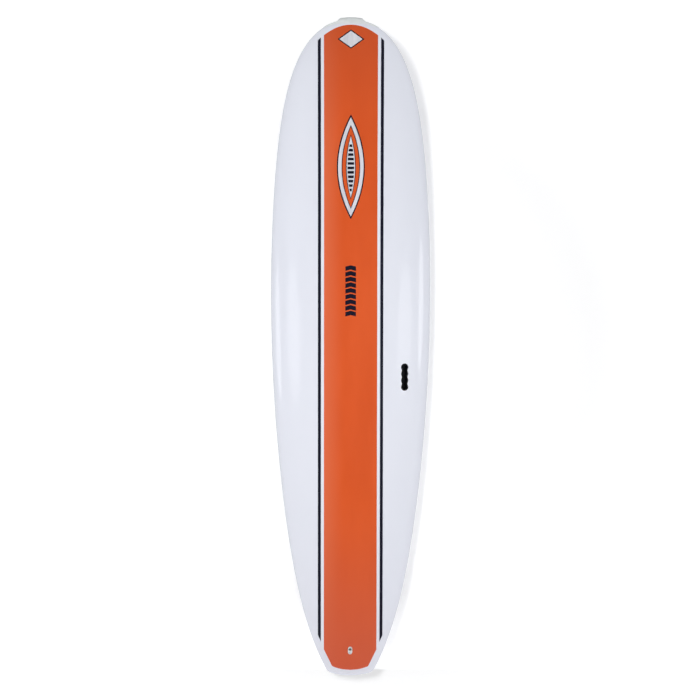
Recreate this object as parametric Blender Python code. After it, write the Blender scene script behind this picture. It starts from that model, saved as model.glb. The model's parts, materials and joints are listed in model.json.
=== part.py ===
"""A longboard surfboard with its fins, leash plug, carry grip and nose guard.

Frame: metres, the board stands upright with its nose up (+Z) and its deck facing -Y.
+X is the right-hand rail as seen from the deck. The origin lies on the bottom skin's
centreline at mid length, which is the lowest point of the rocker.
"""
import math

import bmesh
import bpy
from mathutils import Matrix, Vector

# ------------------------------------------------------------------ driving dimensions
LENGTH = 2.591                  # 8 ft 6 in, without the nose guard
HALF_LENGTH = LENGTH / 2
HALF_WIDTH = 0.3184             # half of 25 in, at the wide point
WIDE_POINT_Z = 0.24             # the wide point lies ahead of the middle
THICKNESS = 0.089               # 3 1/2 in at the middle
APEX_SHARE = 0.42               # height of the rail's widest line, as a share of thickness
TAIL_THICKNESS = 0.018
NOSE_THICKNESS = 0.016
FOIL_POWER = 2.6                # how long the middle stays thick
FOIL_FALL = 0.85
NOSE_ROCKER = 0.115
TAIL_ROCKER = 0.055
NOSE_ROCKER_POWER = 2.7
TAIL_ROCKER_POWER = 2.3
ROCKER_FLAT = 0.140             # half length of the flat spot at the middle of the bottom

# outline, as shares of the way from the wide point to the nose or to the tail
NOSE_CURVE_SHARE = 0.62
NOSE_CURVE_POWER = 5.85
NOSE_ROUNDING = 0.438
TAIL_CURVE_SHARE = 0.71
TAIL_CURVE_POWER = 8.1
TAIL_BLOCK_HALF = 0.0816        # half width that the side curve would have at the tail
TAIL_END_RADIUS = 0.244         # arc of the squared tail's end
TAIL_CORNER_RADIUS = 0.016
TAIL_END_HALF = TAIL_BLOCK_HALF + 0.004 - TAIL_CORNER_RADIUS
NOSE_END_HALF = 0.070           # half width of the last cross row at the nose

# cross-section
DECK_POWER = 2.3
BOTTOM_POWER = 3.0
BOTTOM_FLAT_SHARE = 0.30
END_ROUND = 0.030               # length over which the section closes at both ends
END_POWER = 2.2
BOW_REACH = 0.12

# construction
GAP = 0.0003
SKIN = 0.0025                   # glass, foam sheet and glass
DECK_LIFT = GAP                 # the deck shell stands this much off the bottom shell
FILM_LOW = DECK_LIFT + GAP
STRINGER_HALF = 0.003
FILM = 0.0004
STATIONS = 30
COLUMNS = 14

# deck graphics
BAND_HALF = 0.1052
BAND_TOP_Z = 1.2768
BAND_TOP_CORNER_Z = 1.238
BAND_TAIL_CORNER_Z = -1.187
BAND_END_HALF = 0.072
BAND_END_CORNER_Z = -1.2545
BAND_END_Z = -1.2688
STRIPE_INNER = 0.1172
STRIPE_OUTER = 0.1292
STRIPE_TOP_Z = 1.230
STRIPE_BOTTOM_Z = -1.156
STRIPE_SLANT = 0.012
STRIPE_TAIL_SLANT = 0.027
EMBLEM_Z = 1.2225
EMBLEM_HALF_WIDTH = 0.052
EMBLEM_HALF_HEIGHT = 0.036
BADGE_Z = 0.733
BADGE_HALF_LENGTH = 0.204
BADGE_HALF_WIDTH = 0.055
CHEVRON_Z = 0.2473
CHEVRON_HALF_LENGTH = 0.101
CHEVRON_HALF_WIDTH = 0.021
CHEVRON_COUNT = 9
CHEVRON_STROKE = 0.76           # thickness of a chevron, as a share of the pitch
CHEVRON_LINK = 0.22             # half width of the bar between two chevrons, as a share

# carry grip
GRIP_X = 0.2150
GRIP_Z = -0.094
GRIP_PITCH = 0.0263
GRIP_LOBES = 4
GRIP_LOBE_HALF = 0.0144
GRIP_WAIST_HALF = 0.0110
GRIP_FLANGE = 0.0030
GRIP_DEPTH = 0.032
GRIP_WALL = 0.0015
GRIP_PROUD = 0.0010
GRIP_RIM = 0.0016               # thickness of the flange
GRIP_BLOCK_MARGIN = 0.012
GRIP_BLOCK_UNDER = 0.008

# leash plug
PLUG_Z = -1.189
PLUG_HALF_WIDTH = 0.0086
PLUG_LENGTH = 0.031
PLUG_DEPTH = 0.019
PLUG_PROUD = 0.0008
PLUG_BLOCK_HALF_WIDTH = 0.030
PLUG_BLOCK_HALF_LENGTH = 0.036
PLUG_BLOCK_UNDER = 0.005
CUP_RADIUS = 0.0058
CUP_DEPTH = 0.014
CUP_Y = 0.0036
LEASH_PIN_RADIUS = 0.0016
LEASH_PIN_HALF_LENGTH = 0.0073
LEASH_PIN_DEPTH = 0.0045
VENT_Y = -0.0088
VENT_HEAD_RADIUS = 0.0037
VENT_HEAD_THICKNESS = 0.0018
VENT_SINK = 0.0004              # the head lies this far below the plug's face
VENT_SHANK_RADIUS = 0.0020
VENT_SHANK_LENGTH = 0.0100
VENT_SEAL_HEIGHT = 0.0010
VENT_SLOT_HALF = 0.0006

# centre fin and its box
FIN_BOX_Z = -0.985
FIN_BOX_LENGTH = 0.267
FIN_BOX_WIDTH = 0.0250
FIN_BOX_DEPTH = 0.0280
SLOT_LENGTH = 0.254
SLOT_WIDTH = 0.0096
SLOT_DEPTH = 0.0240
CHANNEL_WIDTH = 0.0200
CHANNEL_TOP = 0.0060
CHANNEL_BOTTOM = 0.0115
FIN_HEIGHT = 0.203
FIN_BASE_FRONT = 0.066
FIN_TIP_Y = -0.105
FIN_HALF_THICKNESS = 0.0043
FIN_HOLLOW = 0.016              # how far the rear edge is scooped out
FIN_LEAN = 2.1                  # higher keeps the front edge upright for longer
FIN_FOOT = 0.0014               # the tab reaches this far up inside the blade
FOOT_OVERLAP = 0.0004
FIN_TAB_WIDTH = 0.0090
FIN_TAB_DEPTH = 0.0200
FIN_TAB_REAR = -0.0860
FIN_TAB_FRONT = 0.0600
FIN_PIN_Y = -0.0800
FIN_PIN_RADIUS = 0.0022
FIN_PIN_DEPTH = 0.0088
FIN_SCREW_Y = 0.0740
FIN_LUG_FRONT = 0.0840
FIN_LUG_TOP = 0.0034
FIN_LUG_BOTTOM = 0.0065
FIN_LUG_HOLE_RADIUS = 0.0024
FIN_HEEL_GAP = 0.0010           # clearance under the fin's heel, for tilting
PLATE_TOP = 0.0071
PLATE_BOTTOM = 0.0100
PLATE_HALF_LENGTH = 0.0060
PLATE_HOLE_RADIUS = 0.0030
FIN_SCREW_RADIUS = 0.0020
FIN_SCREW_HEAD_RADIUS = 0.0040
FIN_SCREW_HEAD = 0.0024
FIN_SCREW_TIP = -0.0130
NOTCH_HALF = 0.0110             # the screw plate and the pin go in through this notch
CHANNEL_INSET = 0.0020
CHANNEL_PLAY = 0.0005
BOX_PROUD = 0.0003
BLOCK_MARGIN_X = 0.014
BLOCK_MARGIN_Y = 0.012
BLOCK_UNDER = 0.004

# side fins
SIDE_FIN_X = 0.150
SIDE_FIN_Z = -0.955
SIDE_FIN_TOE = math.radians(2.5)
SIDE_FIN_CANT = math.radians(4.0)
SIDE_BOX_LENGTH = 0.134
SIDE_BOX_WIDTH = 0.0140
SIDE_BOX_DEPTH = 0.0170
SIDE_SLOT_REAR = -0.0600
SIDE_SLOT_FRONT = 0.0480
SIDE_SLOT_WIDTH = 0.0076
SIDE_SLOT_DEPTH = 0.0145
SIDE_FIN_HEIGHT = 0.112
SIDE_FIN_BASE_REAR = -0.056
SIDE_FIN_BASE_FRONT = 0.050
SIDE_FIN_TIP_Y = -0.076
SIDE_FIN_HALF_THICKNESS = 0.0032
SIDE_FIN_HOLLOW = 0.010
SIDE_FIN_LEAN = 2.0
SIDE_FIN_FOOT = 0.0012
SIDE_TAB_HALF = 0.0034
SIDE_TAB_GAP = 0.0020           # end clearance of the tab in its slot
SIDE_TAB_FLOOR_GAP = 0.0010
SIDE_SCREW_Y = 0.0560
SIDE_SCREW_RADIUS = 0.0026
SIDE_SCREW_LENGTH = 0.0080
SIDE_SCREW_SINK = 0.0010
SIDE_THREAD_DEPTH = 0.0095
SIDE_SOCKET_RADIUS = 0.0013
SIDE_SOCKET_DEPTH = 0.0025

# nose guard
GUARD_WING_HALF = 0.108
GUARD_WING_AHEAD = 0.0012
GUARD_WING_REACH = 0.0150       # how far the lips reach back over deck and bottom
GUARD_WING_HEIGHT = 0.0120
GUARD_BUMP_HALF = 0.0580        # half width of the middle bump at its foot
GUARD_BUMP_TOP_HALF = 0.0495
GUARD_BUMP_AHEAD = 0.0115
GUARD_BUMP_REACH = 0.0175
GUARD_BUMP_HEIGHT = 0.0145

COLOURS = {
    "white gloss": ((0.80, 0.82, 0.86), 0.12, 0.0),
    "orange gloss": ((0.73, 0.115, 0.032), 0.15, 0.0),
    "dark film": ((0.012, 0.012, 0.020), 0.25, 0.0),
    "silver film": ((0.62, 0.64, 0.66), 0.30, 0.6),
    "foam": ((0.86, 0.86, 0.84), 0.85, 0.0),
    "dense foam": ((0.66, 0.50, 0.30), 0.80, 0.0),
    "wood": ((0.52, 0.34, 0.18), 0.60, 0.0),
    "clear rubber": ((0.68, 0.71, 0.71), 0.35, 0.0),
    "black plastic": ((0.010, 0.011, 0.018), 0.45, 0.0),
    "pale plastic": ((0.68, 0.69, 0.68), 0.40, 0.0),
    "seal rubber": ((0.02, 0.02, 0.02), 0.60, 0.0),
    "fin glass": ((0.03, 0.035, 0.045), 0.18, 0.0),
    "steel": ((0.60, 0.60, 0.60), 0.28, 1.0),
    "brass": ((0.70, 0.52, 0.24), 0.30, 1.0),
}


# ------------------------------------------------------------------ scene and materials
def clear_scene():
    for obj in list(bpy.data.objects):
        bpy.data.objects.remove(obj, do_unlink=True)


def material(name):
    found = bpy.data.materials.get(name)
    if found:
        return found
    colour, roughness, metallic = COLOURS[name]
    made = bpy.data.materials.new(name)
    made.use_nodes = True
    shader = made.node_tree.nodes["Principled BSDF"]
    shader.inputs["Base Color"].default_value = (*colour, 1.0)
    shader.inputs["Roughness"].default_value = roughness
    shader.inputs["Metallic"].default_value = metallic
    return made


# ------------------------------------------------------------------ mesh helpers
def add_object(name, bm, finish, parent=None, origin=(0, 0, 0)):
    """Turn a bmesh, drawn in its parent's frame, into an object with the given origin."""
    bmesh.ops.remove_doubles(bm, verts=bm.verts, dist=1e-6)
    bmesh.ops.recalc_face_normals(bm, faces=bm.faces)
    bmesh.ops.translate(bm, verts=bm.verts, vec=-Vector(origin))
    mesh = bpy.data.meshes.new(name)
    bm.to_mesh(mesh)
    bm.free()
    mesh.shade_smooth()
    mesh.set_sharp_from_angle(angle=math.radians(32))
    mesh.materials.append(material(finish))
    obj = bpy.data.objects.new(name, mesh)
    bpy.context.scene.collection.objects.link(obj)
    obj.parent = parent
    obj.location = origin
    return obj


def as_guide(obj):
    obj.hide_render = True
    obj.display_type = "WIRE"
    return obj


def combine(obj, other, operation):
    step = obj.modifiers.new(f"{operation.lower()} {other.name}", "BOOLEAN")
    step.operation = operation
    step.object = other
    step.solver = "EXACT"


def cut(objs, cutter):
    for obj in objs:
        combine(obj, cutter, "DIFFERENCE")


def grid_solid(top, bottom, middle=None):
    """Closed solid between two grids of points with the same rows and columns.

    Diagonals mirror about the middle column and about the middle row, so that no corner
    triangle lies wholly on an edge where both grids meet.
    """
    bm = bmesh.new()
    rows = len(top)
    columns = len(top[0])
    if middle is None:
        middle = (columns - 1) / 2
    sheets = [[[bm.verts.new(p) for p in row] for row in sheet] for sheet in (top, bottom)]
    for i in range(rows - 1):
        for j in range(columns - 1):
            for sheet in sheets:
                a, b = sheet[i][j], sheet[i][j + 1]
                c, d = sheet[i + 1][j + 1], sheet[i + 1][j]
                falling = (j < middle) == (i < rows / 2)
                corners = ((a, b, c), (a, c, d)) if falling else ((a, b, d), (b, c, d))
                for corner in corners:
                    bm.faces.new(corner)
    border = [(0, j) for j in range(columns - 1)]
    border += [(i, columns - 1) for i in range(rows - 1)]
    border += [(rows - 1, j) for j in range(columns - 1, 0, -1)]
    border += [(i, 0) for i in range(rows - 1, 0, -1)]
    for (i, j), (k, m) in zip(border, border[1:] + border[:1]):
        a, b = sheets[0][i][j], sheets[0][k][m]
        c, d = sheets[1][k][m], sheets[1][i][j]
        bm.faces.new((a, b, c))
        bm.faces.new((a, c, d))
    return bm


def box(low, high):
    bm = bmesh.new()
    bmesh.ops.create_cube(bm, size=1.0)
    size = Vector(high) - Vector(low)
    bmesh.ops.scale(bm, verts=bm.verts, vec=size)
    bmesh.ops.translate(bm, verts=bm.verts, vec=(Vector(high) + Vector(low)) / 2)
    return bm


def prism(outline, low, high):
    """Extrude a closed outline of (x, y) points between two heights along Z."""
    bm = bmesh.new()
    bottom = [bm.verts.new((x, y, low)) for x, y in outline]
    top = [bm.verts.new((x, y, high)) for x, y in outline]
    bm.faces.new(bottom)
    bm.faces.new(top)
    for i in range(len(outline)):
        k = (i + 1) % len(outline)
        bm.faces.new((bottom[i], bottom[k], top[k], top[i]))
    return bm


def arc(centre, radius, start, end, steps):
    """Points along an arc, angles in degrees, both ends included."""
    angles = [math.radians(start + (end - start) * i / steps) for i in range(steps + 1)]
    return [(centre[0] + radius * math.cos(a), centre[1] + radius * math.sin(a)) for a in angles]


def circle(centre, radius, steps=24):
    return arc(centre, radius, 0, 360, steps)[:-1]


def stadium(half_width, length, steps=10):
    """Rounded slot along Y."""
    straight = length / 2 - half_width
    return (arc((0, straight), half_width, 0, 180, steps)
            + arc((0, -straight), half_width, 180, 360, steps))


def rod(radius, low, high, centre=(0, 0), steps=24):
    return prism(circle(centre, radius, steps), low, high)


def cross_rod(radius, half_length, y, z, steps=20):
    """Rod along X."""
    bm = rod(radius, -half_length, half_length, steps=steps)
    turn = Matrix.Rotation(math.radians(90), 4, "Y")
    bmesh.ops.transform(bm, matrix=Matrix.Translation((0, y, z)) @ turn, verts=bm.verts)
    return bm


def turned(profile, centre, steps=24):
    """Closed solid turned from (radius, height) points, the first and last on the axis."""
    bm = bmesh.new()
    rings = []
    for radius, height in profile[1:-1]:
        rings.append([bm.verts.new((x, y, height)) for x, y in circle(centre, radius, steps)])
    ends = [bm.verts.new((*centre, profile[0][1])), bm.verts.new((*centre, profile[-1][1]))]
    for i in range(steps):
        k = (i + 1) % steps
        bm.faces.new((ends[0], rings[0][k], rings[0][i]))
        bm.faces.new((ends[1], rings[-1][i], rings[-1][k]))
        for low, high in zip(rings, rings[1:]):
            bm.faces.new((low[i], low[k], high[k], high[i]))
    return bm


# ------------------------------------------------------------------ the hull's form
def outline_half_width(z):
    """Half width of the outline along the sides, from the tail's corner to the nose row."""
    if z > WIDE_POINT_Z:
        t = (z - WIDE_POINT_Z) / (HALF_LENGTH - WIDE_POINT_Z)
        fall = NOSE_CURVE_SHARE * t**2 + (1 - NOSE_CURVE_SHARE) * t**NOSE_CURVE_POWER
        return HALF_WIDTH * max(0.0, 1 - fall) ** NOSE_ROUNDING
    t = (WIDE_POINT_Z - z) / (WIDE_POINT_Z + HALF_LENGTH)
    fall = TAIL_CURVE_SHARE * t**2 + (1 - TAIL_CURVE_SHARE) * t**TAIL_CURVE_POWER
    side = HALF_WIDTH - (HALF_WIDTH - TAIL_BLOCK_HALF) * fall
    into_corner = TAIL_CORNER_RADIUS - (z - TAIL_SIDE_Z)
    if into_corner > 0:
        side += math.sqrt(max(0.0, TAIL_CORNER_RADIUS**2 - into_corner**2)) - TAIL_CORNER_RADIUS
    return side


def find_nose_side_z():
    """Height on the outline where its half width is that of the last cross row."""
    low, high = WIDE_POINT_Z, HALF_LENGTH
    for _ in range(60):
        middle = (low + high) / 2
        if outline_half_width(middle) > NOSE_END_HALF:
            low = middle
        else:
            high = middle
    return low


TAIL_BOW = TAIL_END_HALF**2 / (2 * TAIL_END_RADIUS)
TAIL_SIDE_Z = -HALF_LENGTH + TAIL_BOW
NOSE_SIDE_Z = find_nose_side_z()
NOSE_BOW = HALF_LENGTH - NOSE_SIDE_Z
NOSE_BOW_POWER = 1 / NOSE_ROUNDING


def rocker(z):
    share = max(0.0, abs(z) - ROCKER_FLAT) / (HALF_LENGTH - ROCKER_FLAT)
    if z > 0:
        return NOSE_ROCKER * share**NOSE_ROCKER_POWER
    return TAIL_ROCKER * share**TAIL_ROCKER_POWER


def thickness(z):
    end = NOSE_THICKNESS if z > 0 else TAIL_THICKNESS
    share = min(1.0, abs(z) / HALF_LENGTH)
    return end + (THICKNESS - end) * (1 - share**FOIL_POWER) ** FOIL_FALL


def deck_crown(v):
    return max(0.0, 1 - abs(v) ** DECK_POWER) ** (1 / DECK_POWER)


def bottom_crown(v):
    into_rail = max(0.0, abs(v) - BOTTOM_FLAT_SHARE) / (1 - BOTTOM_FLAT_SHARE)
    return max(0.0, 1 - into_rail**BOTTOM_POWER) ** (1 / BOTTOM_POWER)


def station_point(side_z, v, side, inset, x=None):
    """Point of the hull at a station and a share v of its half width.

    side is +1 on the deck and -1 on the bottom. inset moves the surface inward. x, where
    given, is a fixed distance from the centreline that replaces the share.
    """
    half = outline_half_width(side_z) - inset
    if x is not None:
        v = x / half
    tail_way = side_z - TAIL_SIDE_Z
    nose_way = NOSE_SIDE_Z - side_z
    z = side_z + NOSE_BOW * math.exp(-nose_way / BOW_REACH) * (1 - abs(v) ** NOSE_BOW_POWER)
    z -= TAIL_BOW * math.exp(-tail_way / BOW_REACH) * (1 - v * v)
    from_end = max(0.0, 1 - min(tail_way, nose_way) / END_ROUND)
    closing = max(0.0, 1 - from_end**END_POWER) ** (1 / END_POWER)
    whole = thickness(z)
    if side > 0:
        rise = (whole * (1 - APEX_SHARE) - inset) * deck_crown(v) * closing
    else:
        rise = -(whole * APEX_SHARE - inset) * bottom_crown(v) * closing
    height = rocker(z) + whole * APEX_SHARE + rise
    return Vector((v * half, -height, z * (1 - inset / HALF_LENGTH)))


def station_heights():
    span = NOSE_SIDE_Z - TAIL_SIDE_Z
    return [TAIL_SIDE_Z + span * (1 - math.cos(math.pi * i / STATIONS)) / 2
            for i in range(STATIONS + 1)]


def column_shares():
    return [math.sin(math.pi * (j / COLUMNS - 0.5)) for j in range(COLUMNS + 1)]


def hull_grid(side, inset, lift=0.0):
    """Grid over the whole deck or bottom; lift shifts it along -Y."""
    shift = Vector((0, -lift, 0))
    return [[station_point(z, v, side, inset) + shift for v in column_shares()]
            for z in station_heights()]


def half_grid(side, inset, inner_x, sign):
    """Grid over one half, from a fixed distance off the centreline out to the rail."""
    rows = []
    for z in station_heights():
        row = [station_point(z, 0, side, inset, x=inner_x)]
        row += [station_point(z, v, side, inset) for v in column_shares() if v > 0.05]
        rows.append([Vector((sign * p.x, p.y, p.z)) for p in row])
    return rows


def strip_grid(side, inset, half_width):
    return [[station_point(z, 0, side, inset, x=x) for x in (-half_width, half_width)]
            for z in station_heights()]


def surface_height(x, z, side):
    """Height of the outer surface away from both ends, where stations are level."""
    return station_point(z, 0, side, 0.0, x=x).y


def surface_frame(x, z, side):
    """Frame on the surface: local Z points out of the board, local Y towards the nose."""
    step = 0.004
    y_of = surface_height
    across = Vector((2 * step, y_of(x + step, z, side) - y_of(x - step, z, side), 0))
    along = Vector((0, y_of(x, z + step, side) - y_of(x, z - step, side), 2 * step))
    out = across.cross(along).normalized()
    if out.y * side > 0:
        out.negate()
    along = (along - out * along.dot(out)).normalized()
    right = along.cross(out)
    turn = Matrix((right, along, out)).transposed().to_4x4()
    return Matrix.Translation((x, y_of(x, z, side), z)) @ turn


def mount_empty(name, frame):
    empty = bpy.data.objects.new(name, None)
    bpy.context.scene.collection.objects.link(empty)
    empty.matrix_world = frame
    return empty


# ------------------------------------------------------------------ hull pieces
def make_shells():
    deck = grid_solid(hull_grid(1, 0.0, DECK_LIFT), hull_grid(1, SKIN, DECK_LIFT))
    bottom = grid_solid(hull_grid(-1, 0.0), hull_grid(-1, SKIN))
    return (add_object("deck_shell", deck, "white gloss"),
            add_object("bottom_shell", bottom, "white gloss"))


def make_core():
    inset = SKIN + GAP
    pieces = []
    for name, sign in (("foam_core_left", -1), ("foam_core_right", 1)):
        inner_x = STRINGER_HALF + GAP
        top = half_grid(1, inset, inner_x, sign)
        bottom = half_grid(-1, inset, inner_x, sign)
        pieces.append(add_object(name, grid_solid(top, bottom, middle=0), "foam"))
    top = strip_grid(1, inset, STRINGER_HALF)
    bottom = strip_grid(-1, inset, STRINGER_HALF)
    pieces.append(add_object("stringer", grid_solid(top, bottom), "wood"))
    return pieces


def make_envelope(name, inset):
    """Closed hull form moved inward by inset, a guide for pieces that follow the hull."""
    bm = grid_solid(hull_grid(1, inset), hull_grid(-1, inset))
    return as_guide(add_object(name, bm, "foam"))


# ------------------------------------------------------------------ deck graphics
def make_film_sheet(level):
    low = FILM_LOW + level * (FILM + GAP)
    bm = grid_solid(hull_grid(1, -low - FILM), hull_grid(1, -low))
    return as_guide(add_object(f"film_level_{level}", bm, "foam"))


def make_film(name, outline, sheet, finish):
    """Film on the deck, cut from a sheet by an outline of (x, z) points."""
    bm = prism([(x, -z) for x, z in outline], 0.0, 0.4)
    bmesh.ops.transform(bm, matrix=Matrix.Rotation(math.radians(90), 4, "X"), verts=bm.verts)
    bmesh.ops.scale(bm, verts=bm.verts, vec=(1, 1, -1))
    obj = add_object(name, bm, finish)
    combine(obj, sheet, "INTERSECT")
    return obj


def bulged(start, end, rise, steps):
    """Points strictly between start and end, bulged by rise to the left of the way."""
    way = Vector(end) - Vector(start)
    left = Vector((-way.y, way.x)).normalized()
    points = []
    for i in range(1, steps):
        t = i / steps
        points.append(tuple(Vector(start) + way * t + left * rise * 4 * t * (1 - t)))
    return points


def band_outline():
    top_right = (BAND_HALF, BAND_TOP_CORNER_Z)
    top_left = (-BAND_HALF, BAND_TOP_CORNER_Z)
    end_left = (-BAND_END_HALF, BAND_END_CORNER_Z)
    end_right = (BAND_END_HALF, BAND_END_CORNER_Z)
    points = [top_right]
    points += bulged(top_right, top_left, BAND_TOP_CORNER_Z - BAND_TOP_Z, 12)
    points += [top_left, (-BAND_HALF, BAND_TAIL_CORNER_Z), end_left]
    points += bulged(end_left, end_right, BAND_END_Z - BAND_END_CORNER_Z, 8)
    points += [end_right, (BAND_HALF, BAND_TAIL_CORNER_Z)]
    return points


def stripe_outline(sign):
    corners = [(STRIPE_INNER, STRIPE_TOP_Z), (STRIPE_INNER, STRIPE_BOTTOM_Z),
               (STRIPE_OUTER, STRIPE_BOTTOM_Z + STRIPE_TAIL_SLANT),
               (STRIPE_OUTER, STRIPE_TOP_Z - STRIPE_SLANT)]
    return [(sign * x, z) for x, z in corners]


def badge_outline():
    """Upright pointed oval."""
    low = (0, BADGE_Z - BADGE_HALF_LENGTH)
    high = (0, BADGE_Z + BADGE_HALF_LENGTH)
    return ([low] + bulged(low, high, -BADGE_HALF_WIDTH, 12)
            + [high] + bulged(high, low, -BADGE_HALF_WIDTH, 12))


def chevron_outline():
    """Upright stack of chevrons that a narrow bar links along the middle."""
    pitch = 2 * CHEVRON_HALF_LENGTH / CHEVRON_COUNT
    low = CHEVRON_Z - CHEVRON_HALF_LENGTH
    link = CHEVRON_LINK * CHEVRON_HALF_WIDTH
    fall = (1 - CHEVRON_STROKE) * pitch
    right = []
    for i in range(CHEVRON_COUNT):
        base = low + pitch * i
        right.append((link, base + fall * (1 - CHEVRON_LINK)))
        right.append((CHEVRON_HALF_WIDTH, base))
        right.append((CHEVRON_HALF_WIDTH, base + CHEVRON_STROKE * pitch))
    top = (0.0, low + pitch * CHEVRON_COUNT)
    right = right[1:]
    left = [(-x, z) for x, z in reversed(right)]
    return right + [top] + left + [(0.0, low + fall)]


def emblem_outline():
    """Diamond that lies across the board."""
    return [(EMBLEM_HALF_WIDTH, EMBLEM_Z), (0, EMBLEM_Z + EMBLEM_HALF_HEIGHT),
            (-EMBLEM_HALF_WIDTH, EMBLEM_Z), (0, EMBLEM_Z - EMBLEM_HALF_HEIGHT)]


def make_graphics():
    ground = make_film_sheet(0)
    upper = make_film_sheet(1)
    band = make_film("deck_band", band_outline(), ground, "orange gloss")
    make_film("pinstripe_left", stripe_outline(-1), ground, "dark film")
    make_film("pinstripe_right", stripe_outline(1), ground, "dark film")
    make_film("deck_badge", badge_outline(), upper, "silver film")
    make_film("deck_chevrons", chevron_outline(), upper, "dark film")
    make_film("nose_emblem", emblem_outline(), upper, "silver film")
    return band


# ------------------------------------------------------------------ carry grip
def grip_outline(grow):
    """Scalloped outline with one lobe for each finger, along Y."""
    rise = GRIP_LOBE_HALF - GRIP_WAIST_HALF
    waist = GRIP_WAIST_HALF + grow
    first = -GRIP_PITCH * (GRIP_LOBES - 1) / 2
    right = []
    for i in range(1, GRIP_LOBES - 1):
        low = (waist, first + GRIP_PITCH * (i - 0.5))
        high = (waist, first + GRIP_PITCH * (i + 0.5))
        right += [low] + bulged(low, high, -rise, 6)
    top_waist = first + GRIP_PITCH * (GRIP_LOBES - 1.5)
    right.append((waist, top_waist))
    end_radius = GRIP_LOBE_HALF + grow
    top = arc((0, -first), end_radius, -40, 220, 22)
    left = [(-x, y) for x, y in reversed(right)]
    bottom = [(-x, -y) for x, y in top]
    return right + top + left + bottom


def make_grip(skins, core):
    mount = mount_empty("carry_grip_mount", surface_frame(GRIP_X, GRIP_Z, 1))
    inner = grip_outline(-GRIP_FLANGE)
    barrel = grip_outline(-GRIP_FLANGE + GRIP_WALL)
    cup = prism(grip_outline(0.0), GRIP_PROUD - GRIP_RIM, GRIP_PROUD)
    cup = add_object("carry_grip", cup, "black plastic", mount)
    body = add_object("grip_barrel", prism(barrel, -GRIP_DEPTH, 0.0), "black plastic", mount)
    pocket = prism(inner, -GRIP_DEPTH + GRIP_WALL, 0.01)
    pocket = add_object("grip_pocket", pocket, "foam", mount)
    combine(cup, as_guide(body), "UNION")
    combine(cup, as_guide(pocket), "DIFFERENCE")
    recess = prism(grip_outline(GAP), GRIP_PROUD - GRIP_RIM - GAP, 0.01)
    recess = as_guide(add_object("grip_recess", recess, "foam", mount))
    room = prism(grip_outline(-GRIP_FLANGE + GRIP_WALL + GAP), -GRIP_DEPTH - GAP, 0.01)
    room = as_guide(add_object("grip_room", room, "foam", mount))
    half_x = GRIP_LOBE_HALF + GRIP_BLOCK_MARGIN
    half_y = GRIP_PITCH * GRIP_LOBES / 2 + GRIP_BLOCK_MARGIN
    deep = -GRIP_DEPTH - GRIP_BLOCK_UNDER
    block = add_object("grip_block", box((-half_x, -half_y, deep), (half_x, half_y, 0.02)),
                       "dense foam", mount)
    seat = box((-half_x - GAP, -half_y - GAP, deep - GAP), (half_x + GAP, half_y + GAP, 0.03))
    seat = as_guide(add_object("grip_block_seat", seat, "foam", mount))
    cut(core, seat)
    cut(skins + [block], room)
    cut(skins + [block], recess)
    return block


# ------------------------------------------------------------------ leash plug
def make_leash_plug(skins, band, core):
    mount = mount_empty("leash_plug_mount", surface_frame(0.0, PLUG_Z, 1))
    top = FILM_LOW + FILM + PLUG_PROUD
    plug = add_object("leash_plug", prism(stadium(PLUG_HALF_WIDTH, PLUG_LENGTH), -PLUG_DEPTH, top),
                      "pale plastic", mount)
    cup = rod(CUP_RADIUS, top - CUP_DEPTH, top + 0.01, (0, CUP_Y), 28)
    cut([plug], as_guide(add_object("leash_cup", cup, "foam", mount)))
    pin_z = top - LEASH_PIN_DEPTH
    pin_hole = cross_rod(LEASH_PIN_RADIUS + GAP, LEASH_PIN_HALF_LENGTH + GAP, CUP_Y, pin_z)
    cut([plug], as_guide(add_object("leash_pin_hole", pin_hole, "foam", mount)))
    pin = cross_rod(LEASH_PIN_RADIUS, LEASH_PIN_HALF_LENGTH, CUP_Y, pin_z)
    add_object("leash_pin", pin, "steel", mount)
    make_vent(mount, plug, top)
    half_x, half_y = PLUG_BLOCK_HALF_WIDTH, PLUG_BLOCK_HALF_LENGTH
    deep = -PLUG_DEPTH - PLUG_BLOCK_UNDER
    block = add_object("leash_plug_block", box((-half_x, -half_y, deep), (half_x, half_y, 0.01)),
                       "dense foam", mount)
    seat = box((-half_x - GAP, -half_y - GAP, deep - GAP), (half_x + GAP, half_y + GAP, 0.02))
    cut(core, as_guide(add_object("leash_block_seat", seat, "foam", mount)))
    room = prism(stadium(PLUG_HALF_WIDTH + GAP, PLUG_LENGTH + 2 * GAP), -PLUG_DEPTH - GAP, 0.01)
    room = as_guide(add_object("leash_plug_room", room, "foam", mount))
    cut(skins + [band, block], room)
    return block


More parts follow.
